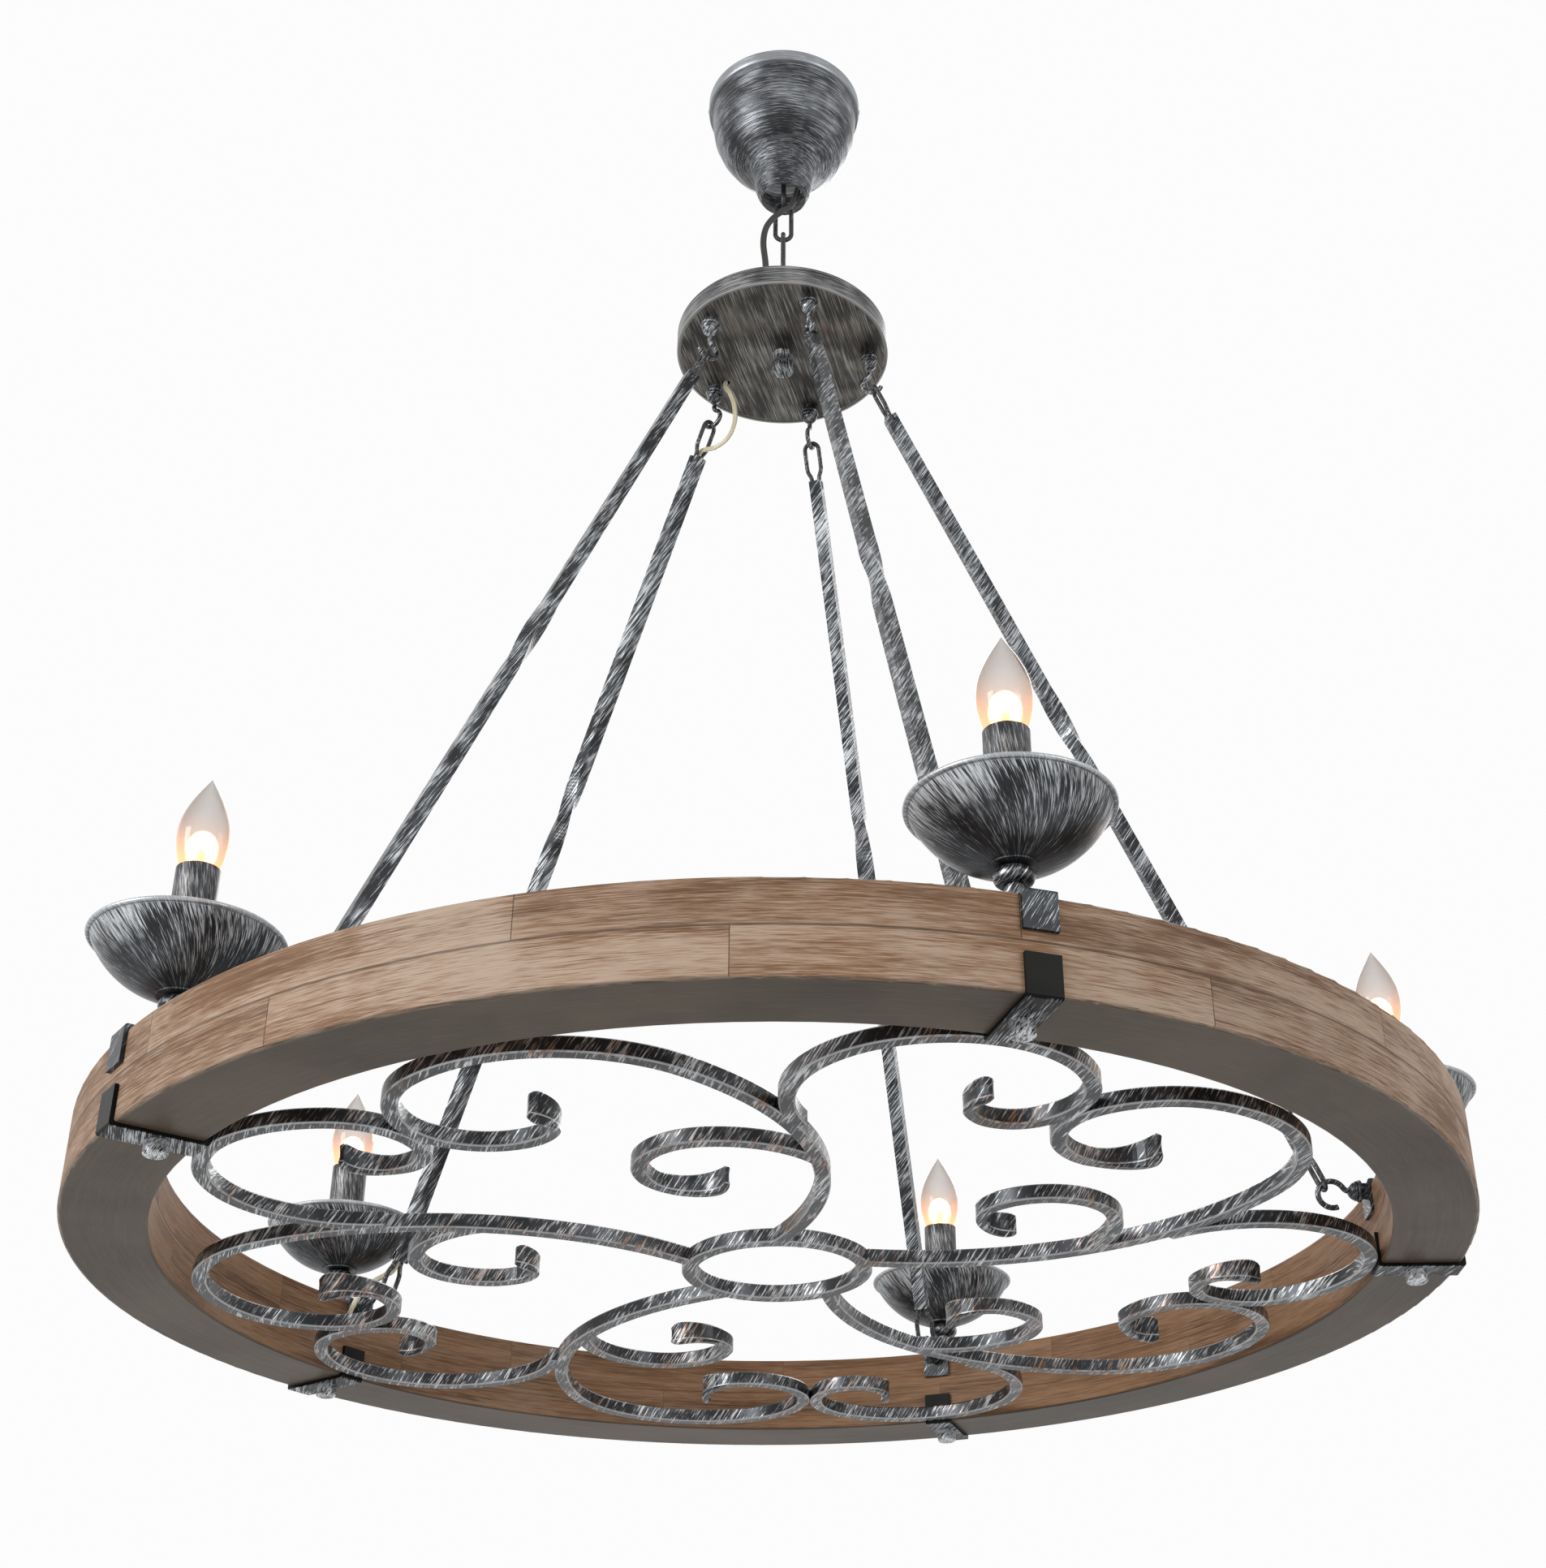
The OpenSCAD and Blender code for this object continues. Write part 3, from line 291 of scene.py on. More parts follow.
@dataclass(frozen=True)
class BrushedIron:
    """Black iron, dry-brushed with silver, with a little copper brown in places.

    Attributes:
        strokes: the way of the brush.
        black: the ground colour.
        silver: the colour of the strokes.
        rust: the brown that shows in places.
        cover: how much of the ground the strokes cover, from 0 to 1.
        rust_cover: how much of the strokes turns brown.
        length: a stroke's length.
        width: a stroke's width.
        metallic: how metallic it is.
        centre: a point on the axis, for the turned pieces.
        rim: where a rim or an edge is brighter, or None: rubbed bright on the turned pieces and the
            plate, a painted highlight along the scroll bars' lower edge.
        more: where more strokes lie, or None.
        shine: how strongly the ground mirrors.
        roughness: the ground's roughness.
        patches: light and dark patches in a metre.
        brown_patches: brown patches in a metre.
        hammer_marks: hammer marks in a metre.
        relief: the strokes' and the marks' depth.
    """

    strokes: Strokes
    black: Colour = (0.022, 0.024, 0.027, 1.0)
    silver: Colour = (0.50, 0.52, 0.54, 1.0)
    rust: Colour = (0.24, 0.13, 0.075, 1.0)
    cover: float = 0.5
    rust_cover: float = 0.12
    length: float = 0.012
    width: float = 0.0006
    metallic: float = 0.72
    centre: tuple[float, float, float] = (0.0, 0.0, 0.0)
    rim: Optional[Mask] = None
    more: Optional[Mask] = None
    shine: float = 0.5
    roughness: float = 0.34
    patches: float = 34.0
    brown_patches: float = 21.0
    hammer_marks: float = 260.0
    relief: float = 0.00022

    def _stroke_space(self, paint: Paint, x: Wire, y: Wire, z: Wire) -> Wire:
        """Coordinates in which one stroke is one unit long and one unit wide.

        A straight brush: the place along the brush is divided by the length, the place across it
        by the width, and the third by most of the length, so that a stroke is a thin ribbon which
        leaves a long mark on every face. Round a turned piece: the place on a circle keeps the
        pattern closed.
        """
        if self.strokes in BRUSH_WAY:
            way, thin = (Vector(v).normalized() for v in BRUSH_WAY[self.strokes])
            deep = way.cross(thin).normalized()
            scales = ((way, self.length), (thin, self.width), (deep, self.length * DEPTH_SHARE))
            return paint.vector(*(x * (v.x / d) + y * (v.y / d) + z * (v.z / d) for v, d in scales))
        radius = (x * x + y * y + 1e-9) ** 0.5
        if self.strokes is Strokes.AROUND:
            turns, climb, twist = LONG_STROKES, 1 / self.width, 2.0
        else:
            turns, climb, twist = MEAN_RADIUS / self.width, 1 / self.length, 9.0
        spiral = z * twist
        flat = paint.vector(x / radius * turns, y / radius * turns, 0.0)
        swung = paint.node(
            "ShaderNodeVectorRotate", {"rotation_type": "Z_AXIS"}, {"Vector": flat, "Angle": spiral}
        )
        rise = paint.vector(0.0, 0.0, (z + radius) * climb)
        return paint.node("ShaderNodeVectorMath", {"operation": "ADD"}, {0: swung, 1: rise})

    def material(self, name: str) -> bpy.types.Material:
        """The finish as a material.

        Args:
            name: the material's name.

        Returns:
            The material.
        """
        paint = Paint(name, Specular_IOR_Level=self.shine, Metallic=self.metallic)
        x, y, z = paint.place(self.centre)
        space = self._stroke_space(paint, x, y, z)
        here = paint.vector(x, y, z)
        fine = paint.noise(space, 1.0, 2.0, 0.6)
        broad = paint.noise(space, 0.3, 2.0, 0.5)
        patch = paint.noise(here, self.patches, 2.0, 0.5)
        amount = fine + (broad - 0.5) * 0.38 + (patch - 0.5) * 0.34
        if self.more is not None:
            amount = amount + self.more(x, y, z)
        edge = 0.70 - 0.26 * self.cover
        strokes = amount.over(edge - 0.10, edge + 0.11)
        # brighter rims: rubbed bright on the turned pieces, a painted highlight on the scrolls'
        # lower edge
        if self.rim is not None:
            strokes = strokes.math("MAXIMUM", self.rim(x, y, z) * (0.55 + fine * 0.6))
        brown_patch = paint.noise(here, self.brown_patches, 2.0, 0.5)
        brown = brown_patch.over(0.66 - self.rust_cover, 0.76) * broad.over(0.38, 0.6)
        ground = paint.mix(patch.over(0.35, 0.7), self.black, darker(self.black, 2.1))
        silvered = paint.mix(brown, self.silver, self.rust)
        paint.feed(
            Base_Color=paint.mix(strokes, ground, silvered),
            Roughness=self.roughness + strokes * 0.04 + (patch - 0.5) * 0.14,
        )
        hammered = paint.noise(here, self.hammer_marks, 2.0, 0.5)
        paint.relief(strokes * 0.6 + hammered * 0.4, self.relief, 0.55)
        return paint.material


@dataclass(frozen=True)
class PlainIron:
    """Dark wire and screws: satin dark grey, scuffed lighter on the high spots.

    Attributes:
        colour: the ground colour.
        scuff: the colour of the scuffs.
        share: how much is scuffed.
        roughness: the ground's roughness.
        metallic: how metallic the ground is.
    """

    colour: Colour = (0.045, 0.046, 0.048, 1.0)
    scuff: Colour = (0.30, 0.30, 0.30, 1.0)
    share: float = 0.35
    roughness: float = 0.42
    metallic: float = 0.6

    def material(self, name: str) -> bpy.types.Material:
        """The finish as a material."""
        paint = Paint(name, Metallic=self.metallic)
        x, y, z = paint.place()
        here = paint.vector(x, y, z)
        scuffs = paint.noise(here, 330.0, 4.0, 0.65).over(0.72 - 0.3 * self.share, 0.82)
        smut = paint.noise(here, 90.0, 2.0, 0.5)
        ground = paint.mix(smut, darker(self.colour, 0.6), self.colour)
        paint.feed(
            Base_Color=paint.mix(scuffs, ground, self.scuff),
            Roughness=self.roughness + (smut - 0.5) * 0.2 - scuffs * 0.1,
        )
        paint.relief(smut * 0.5 + scuffs * 0.5, 0.00015, 0.5)
        return paint.material


@dataclass(frozen=True)
class LimedWood:
    """Laminated ring wood: two layers of curved planks, brushed with a pale wash.

    Attributes:
        inner: the ring's inner radius.
        outer: the ring's outer radius.
        bottom: the height of its underside.
        top: the height of its top.
        planks: planks in one turn of a layer.
        layer_at: the joint between the two layers, as a share of the height.
        layer_shift: how far the upper layer's joints are shifted, in planks.
        dark: the dark grain.
        warm: the wood between the grain.
        wash: the pale wash on the high grain.
        under: the underside's colour, dark as painted shade.
        under_pale: its paler clouds.
        under_fibre: its fibres.
        inner_dark: the dark grain of the inner face.
        inner_warm: the wood between the grain there.
        seam: the glue joints.
        rubbed: the underside's rubbed outer edge.
    """

    inner: float
    outer: float
    bottom: float
    top: float
    planks: int = 11
    layer_at: float = 0.52
    layer_shift: float = 0.43
    dark: Colour = (0.105, 0.055, 0.030, 1.0)
    warm: Colour = (0.245, 0.132, 0.068, 1.0)
    wash: Colour = (0.44, 0.345, 0.27, 1.0)
    under: Colour = (0.038, 0.026, 0.016, 1.0)
    under_pale: Colour = (0.072, 0.052, 0.034, 1.0)
    under_fibre: Colour = (0.13, 0.10, 0.075, 1.0)
    inner_dark: Colour = (0.032, 0.015, 0.008, 1.0)
    inner_warm: Colour = (0.20, 0.105, 0.052, 1.0)
    seam: Colour = (0.035, 0.018, 0.010, 1.0)
    rubbed: Colour = (0.34, 0.27, 0.21, 1.0)

    def material(self, name: str) -> bpy.types.Material:
        """The finish as a material.

        The grain is noise drawn out along the circle. A plank is a stretch of the angle in one of
        the two layers, and its number gives it a tint and a shift of grain of its own.
        """
        paint = Paint(name, Specular_IOR_Level=0.16)
        x, y, z = paint.place()
        radius = (x * x + y * y) ** 0.5
        angle = y.math("ARCTAN2", x) / math.tau + 0.5
        height = (z - self.bottom) / (self.top - self.bottom)
        layer = height.math("GREATER_THAN", self.layer_at)
        along = angle * self.planks + layer * self.layer_shift + 0.31
        plank = along.math("FLOOR").math("MODULO", self.planks) + layer * 17.0
        tint = paint.node(
            "ShaderNodeTexWhiteNoise", {"noise_dimensions": "1D"}, {"W": plank}, out="Value"
        )
        # the grain: long along the angle, fine across it, shifted from plank to plank
        arc = angle * (math.tau * self.outer)
        drift = tint * 3.0
        grain_at = paint.vector(arc * 13.0, radius * 360.0, z * 560.0 + drift * 9.0)
        grain = paint.noise(grain_at, 1.0, 5.0, 0.62)
        fibre = paint.noise(paint.vector(arc * 55.0, radius * 900.0, z * 1500.0), 1.0, 3.0, 0.6)
        bands_at = paint.vector(arc * 5.0, radius * 30.0, z * 75.0 + drift * 4.0)
        bands = paint.noise(bands_at, 1.0, 3.0, 0.5)
        cloud = paint.noise(paint.vector(x, y, z), 9.0, 3.0, 0.55)

        seam_along = (along.math("FRACT") - 0.5).math("ABSOLUTE")
        end_seam = seam_along.over(0.4985, 0.4997)
        mid_seam = (height - self.layer_at).math("ABSOLUTE").over(0.016, 0.006)
        seams = end_seam.math("MAXIMUM", mid_seam * 0.75)

        tone = grain * 0.5 + fibre * 0.24 + bands * 0.4 + (tint - 0.5) * 0.05
        wood = paint.mix(tone.over(0.38, 0.72), self.dark, self.warm)
        washed = fibre * 0.45 + grain * 0.2 + bands * 0.25 + cloud * 0.35
        wash = washed.over(0.56, 0.74) * (0.62 + tint * 0.2)
        wood = paint.mix(wash, wood, self.wash)
        wood = paint.mix(seams * 0.8, wood, self.seam)

        # the smooth underside, darkened with painted shade, and the inside, darker and redder
        below = z.over(self.bottom + 0.0016, self.bottom + 0.0004)
        inside = radius.over(self.inner + 0.0022, self.inner + 0.0008)
        inner_wood = paint.mix(tone.over(0.36, 0.66), self.inner_dark, self.inner_warm)
        wood = paint.mix(inside * 0.75, wood, inner_wood)
        painted_underside_shade = paint.mix(cloud.over(0.3, 0.7), self.under, self.under_pale)
        painted_underside_shade = paint.mix(fibre.over(0.5, 0.8) * 0.35, painted_underside_shade, self.under_fibre)
        # painted shade on the underside
        colour = paint.mix(below, wood, painted_underside_shade)
        rubbed = (radius - self.outer).math("ABSOLUTE").over(0.0028, 0.0010) * below * 0.5
        colour = paint.mix(rubbed * fibre.over(0.3, 0.6), colour, self.rubbed)
        paint.feed(Base_Color=colour, Roughness=0.58 - below * 0.20 + (grain - 0.5) * 0.16)
        rough_side = 1 - below * 0.85
        paint.relief((grain * 0.35 + fibre * 0.4 - seams) * rough_side, 0.00055, 0.6)
        return paint.material


@dataclass(frozen=True)
class BulbGlass:
    """Clear glass with the warm light of the filament in its lower half.

    Attributes:
        foot: the height where the glass begins to show.
        tip: the height of its tip.
        clear: its colour near the tip.
        lit: its colour near the foot.
        warm: the filament's light in it.
    """

    foot: float
    tip: float
    clear: Colour = (0.15, 0.105, 0.07, 1.0)
    lit: Colour = (0.40, 0.22, 0.12, 1.0)
    warm: Colour = (0.62, 0.28, 0.11, 1.0)

    def material(self, name: str) -> bpy.types.Material:
        """The finish as a material: clear towards the viewer, fuller at the edges."""
        paint = Paint(name, Roughness=0.04, IOR=1.45, Emission_Strength=1.0, Coat_Roughness=0.02)
        x, y, z = paint.place()
        up = (z - self.foot) / (self.tip - self.foot)
        edge = paint.node("ShaderNodeLayerWeight", values={"Blend": 0.42}, out="Facing")
        glow = up.over(0.58, 0.02)
        film = paint.noise(paint.vector(x, y, z), 45.0, 2.0, 0.5)
        paint.feed(
            Base_Color=paint.mix(glow, self.clear, self.lit),
            Emission_Color=paint.mix(glow, darker(self.warm, 0.0), self.warm),
            Alpha=0.21 + edge * 0.50 + glow * 0.16 + (film - 0.5) * 0.12,
        )
        return paint.material


@dataclass(frozen=True)
class Glow:
    """A light that fades at its edge, for the filament and the haze round it.

    Attributes:
        colour: its colour.
        strength: its strength.
        fade: how fast it fades towards its edge, or 0 for a solid glow.
    """

    colour: Colour
    strength: float
    fade: float = 0.0

    def material(self, name: str) -> bpy.types.Material:
        """The finish as a material."""
        paint = Paint(name, Emission_Strength=self.strength, Roughness=0.6, Specular_IOR_Level=0.0)
        x, y, z = paint.place()
        flicker = paint.noise(paint.vector(x, y, z), 160.0, 2.0, 0.5)
        cooler = tuple(c * f for c, f in zip(self.colour[:3], (1.0, 0.93, 0.82))) + (1.0,)
        light = paint.mix(flicker, self.colour, cooler)
        paint.feed(Emission_Color=light, Base_Color=light)
        if self.fade:
            edge = paint.node("ShaderNodeLayerWeight", values={"Blend": 0.5}, out="Facing")
            paint.feed(Alpha=(1 - edge).math("MAXIMUM", 0.0) ** self.fade)
        return paint.material


@dataclass(frozen=True)
class CordSkin:
    """The moulded skin of a flat twin cord, with a soft ripple along it.

    Attributes:
        colour: its colour.
        deep: its colour in the groove and in dirt.
        roughness: its roughness.
        alpha: how much it hides what is in it.
    """

    colour: Colour
    deep: Colour
    roughness: float = 0.42
    alpha: float = 1.0

    def material(self, name: str) -> bpy.types.Material:
        """The finish as a material."""
        paint = Paint(name, Alpha=self.alpha)
        x, y, z = paint.place()
        here = paint.vector(x, y, z)
        smut = paint.noise(here, 120.0, 3.0, 0.6)
        ripple = paint.noise(here, 420.0, 2.0, 0.5)
        paint.feed(
            Base_Color=paint.mix(smut, self.deep, self.colour),
            Roughness=self.roughness + (smut - 0.5) * 0.2,
        )
        paint.relief(ripple, 0.0002, 0.5)
        return paint.material


# --- Surfaces


def grid_faces(rows: int, columns: int) -> Faces:
    """Four-sided faces of a grid of points whose last column joins the first.

    Args:
        rows: points along the surface.
        columns: points around it.

    Returns:
        The faces, each as four places in the point list.
    """
    i, j = np.meshgrid(np.arange(rows - 1), np.arange(columns), indexing="ij")
    after = (j + 1) % columns
    here, above = i * columns, (i + 1) * columns
    quads = np.stack([here + j, here + after, above + after, above + j], -1)
    return [tuple(q) for q in quads.reshape(-1, 4).tolist()]


def closed_grid(rows: int, columns: int) -> Faces:
    """The faces of such a grid, with a flat face at each end."""
    first, last = range(columns), range((rows - 1) * columns, rows * columns)
    return grid_faces(rows, columns) + [tuple(reversed(first)), tuple(last)]


def mesh_piece(
    name: str, points: np.ndarray, faces: Faces, finish: bpy.types.Material
) -> bpy.types.Object:
    """A smooth mesh object at the origin.

    Args:
        name: the piece's name.
        points: array of shape (n, 3).
        faces: places in the point list.
        finish: its material.

    Returns:
        The object.
    """
    mesh = bpy.data.meshes.new(name)
    mesh.from_pydata(points.reshape(-1, 3).tolist(), [], faces)
    mesh.polygons.foreach_set("use_smooth", np.ones(len(mesh.polygons), bool))
    mesh.materials.append(finish)
    mesh.update()
    piece = bpy.data.objects.new(name, mesh)
    bpy.context.scene.collection.objects.link(piece)
    return piece


def turned_surface(
    radii: np.ndarray, heights: np.ndarray, sides: int = 64
) -> tuple[np.ndarray, Faces]:
    """A profile turned round the Z axis, closed at both ends.

    A point is (r cos t, r sin t, z), with t once round and (r, z) along the profile from its
    foot to its tip.

    Args:
        radii: the profile's radii.
        heights: its heights.
        sides: points around.

    Returns:
        The points and the faces.
    """
    t = np.linspace(0, math.tau, sides, endpoint=False)
    across = radii[:, None]
    rise = np.repeat(heights[:, None], sides, 1)
    rings = np.stack([across * np.cos(t), across * np.sin(t), rise], -1)
    return rings.reshape(-1, 3), closed_grid(len(radii), sides)


def smooth_line(points: np.ndarray, steps: int) -> np.ndarray:
    """A smooth curve through given points: each span is the cubic through its four
    neighbours, with the ends doubled.

    Args:
        points: array of shape (n, 3).
        steps: pieces in each span.

    Returns:
        The curve's points.
    """
    p = np.vstack([points[:1], points, points[-1:]])
    u = np.linspace(0, 1, steps, endpoint=False)[None, :, None]
    a, b, c, d = (p[i : len(p) - 3 + i, None, :] for i in range(4))
    square = (2 * a - 5 * b + 4 * c - d) * u**2
    cube = (3 * b - a - 3 * c + d) * u**3
    spans = 0.5 * (2 * b + (c - a) * u + square + cube)
    return np.vstack([spans.reshape(-1, 3), points[-1:]])


def swept_surface(
    path: np.ndarray, section: np.ndarray, face: tuple[float, float, float]
) -> tuple[np.ndarray, Faces]:
    """A section carried along a path, with closed ends.

    A point is path(s) + x(t) across(s) + y(t) out(s), where across is square to the path and to
    the side that the flat cord shows, and out is square to both.

    Args:
        path: the centre line.
        section: (x, y) pairs round the section, x along its width.
        face: the side that the flat cord shows.

    Returns:
        The points and the faces.
    """
    run = np.gradient(path, axis=0)
    run /= np.linalg.norm(run, axis=1, keepdims=True)
    across = np.cross(run, np.array(face))
    across /= np.linalg.norm(across, axis=1, keepdims=True)
    out = np.cross(across, run)
    wide, deep = section[None, :, :1], section[None, :, 1:]
    points = path[:, None] + wide * across[:, None] + deep * out[:, None]
    return points.reshape(-1, 3), closed_grid(*points.shape[:2])


def twin_section(width: float, thick: float, sides: int = 28) -> np.ndarray:
    """Outline of a flat twin cord: two round cores side by side with a groove between them.

    The half height at x is that of the nearer core's circle, and never less than the web's.

    Args:
        width: the whole width.
        thick: each core's diameter.
        sides: points round the outline.

    Returns:
        (x, y) pairs, once round.
    """
    core = (width - thick) / 2
    t = np.linspace(0, math.tau, sides, endpoint=False)
    x = width / 2 * np.cos(t)
    off = np.abs(np.abs(x) - core)
    half = np.sqrt(np.clip((thick / 2) ** 2 - off**2, 0, None))
    web = np.where(np.abs(x) < core, thick * 0.27, 0.0)
    return np.stack([x, np.sign(np.sin(t)) * np.maximum(half, web)], -1)


# --- Sub-assemblies


class Ironwork:
    """Every iron part of the frame, each with the brush strokes that suit its shape."""

    def __init__(self) -> None:
        """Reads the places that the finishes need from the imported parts."""
        self.hub_radius = node_radii("hub_plate")[1]
        self.nodes = frame["nodes"]

    def dress(self, node: str, finish: bpy.types.Material) -> None:
        """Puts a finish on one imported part."""
        part = self.nodes[node]
        part.data.materials.clear()
        part.data.materials.append(finish)
        log.info("%s: %s", node, finish.name)

    def dress_ceiling_group(self) -> None:
        """Canopy, its hidden strap and hook, the chain and the hub."""
        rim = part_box("canopy")[1].z
        canopy = BrushedIron(
            Strokes.AROUND, black=(0.026, 0.028, 0.031, 1.0), silver=(0.48, 0.50, 0.53, 1.0),
            cover=0.44, width=0.00032, rust_cover=0.03,
            rim=height_mask(rim - 0.0125, rim - 0.0095, 0.55),
        )  # fmt: skip
        self.dress("canopy", canopy.material("canopy_iron"))
        chain = PlainIron(share=0.5).material("chain_iron")
        links = [f"link_{k}" for k in range(1, LINKS + 1)]
        for node in ("crossbar", "canopy_screws", "canopy_hook", "hub_eye", *links):
            self.dress(node, chain)

        def plate_rim(x: Wire, y: Wire, z: Wire) -> Wire:
            """Bright where the plate meets the drum's edge."""
            radius = (x * x + y * y) ** 0.5
            return radius.over(self.hub_radius - 0.0022, self.hub_radius - 0.0006) * 0.8

        plate = BrushedIron(
            Strokes.PLATE, black=(0.034, 0.032, 0.029, 1.0), silver=(0.32, 0.31, 0.29, 1.0),
            rust=(0.17, 0.105, 0.065, 1.0), cover=0.50, rust_cover=0.20, length=0.034,
            width=0.0005, rim=plate_rim,
        )  # fmt: skip
        self.dress("hub_plate", plate.material("hub_plate_iron"))
        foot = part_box("hub_drum")[0].z
        drum = BrushedIron(
            Strokes.AROUND, black=(0.034, 0.034, 0.034, 1.0), silver=(0.36, 0.36, 0.36, 1.0),
            cover=0.5, width=0.00035, rust_cover=0.05,
            rim=height_mask(foot + 0.0022, foot + 0.0006, 0.9),
        )  # fmt: skip
        self.dress("hub_drum", drum.material("hub_drum_iron"))
        knob = BrushedIron(Strokes.PLATE, cover=0.75, length=0.008, rust_cover=0.0)
        self.dress("hub_knob", knob.material("hub_knob_iron"))
        hooks = BrushedIron(Strokes.BAR, cover=0.45, length=0.007, rust_cover=0.05)
        self.dress("hub_hooks", hooks.material("hub_hook_iron"))

    def dress_rods(self) -> None:
        """The five twisted rods."""
        brushed = BrushedIron(Strokes.BAR, cover=0.46, length=0.016, width=0.0007, rust_cover=0.03)
        rod = brushed.material("rod_iron")
        loop = PlainIron(share=0.8, scuff=(0.42, 0.42, 0.43, 1.0)).material("loop_iron")
        for k in range(1, ARMS + 1):
            self.dress(f"rod_{k}", rod)
            self.dress(f"rod_loops_{k}", loop)

    def dress_wheel(self) -> None:
        """Brackets, bolts and the flat scrolls."""
        strap = BrushedIron(Strokes.GRILLE, cover=0.22, length=0.018, rust_cover=0.0)
        self.dress("upper_brackets", strap.material("upper_strap_iron"))
        self.dress("lower_brackets", self._lower_strap())
        bolt = BrushedIron(
            Strokes.GRILLE, silver=(0.62, 0.64, 0.66, 1.0), cover=0.95, length=0.004, rust_cover=0.0
        )
        self.dress("bracket_bolts", bolt.material("bolt_steel"))
        hooks = BrushedIron(Strokes.BAR, cover=0.30, length=0.006, rust_cover=0.05)
        self.dress("wheel_hooks", hooks.material("wheel_hook_iron"))
        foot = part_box("centre_ring")[0].z

        def painted_edge_highlight(x: Wire, y: Wire, z: Wire) -> Wire:
            """A painted highlight: a thin bright line on the bars' sides, along their lower edge.
            """
            side_only = z.over(foot + 0.00002, foot + 0.0001)
            return z.over(foot + 0.0014, foot + 0.0005) * side_only * 0.7

        # the scroll iron, with a painted highlight along the bars' lower edge
        scroll = BrushedIron(
            Strokes.GRILLE, silver=(0.58, 0.59, 0.60, 1.0), rust=(0.34, 0.17, 0.09, 1.0),
            cover=0.38, rust_cover=0.24, length=0.015, width=0.0009, rim=painted_edge_highlight,
        ).material("scroll_iron")  # fmt: skip
        self.dress("centre_ring", scroll)
        for k in range(1, ARMS + 1):
            self.dress(f"scroll_arm_{k}", scroll)

    def _lower_strap(self) -> bpy.types.Material:
        """Nearly black on the upright legs, brushed under the ring."""
        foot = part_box("wood_ring")[0].z
        finish = BrushedIron(
            Strokes.GRILLE, black=(0.004, 0.004, 0.0035, 1.0), cover=-0.9, length=0.016,
            rust_cover=0.0, metallic=0.0, shine=0.10,
            more=height_mask(foot - 0.0012, foot - 0.0024, 0.34),
        )  # fmt: skip
        return finish.material("lower_strap_iron")


class Wheel:
    """The wooden ring."""

    def __init__(self) -> None:
        """Reads the ring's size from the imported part."""
        low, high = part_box("wood_ring")
        self.inner, self.outer = node_radii("wood_ring")
        self.bottom, self.top = low.z, high.z

    def dress(self, ironwork: Ironwork) -> None:
        """Puts the wood finish on the ring."""
        finish = LimedWood(self.inner, self.outer, self.bottom, self.top)
        ironwork.dress("wood_ring", finish.material("limed_wood"))


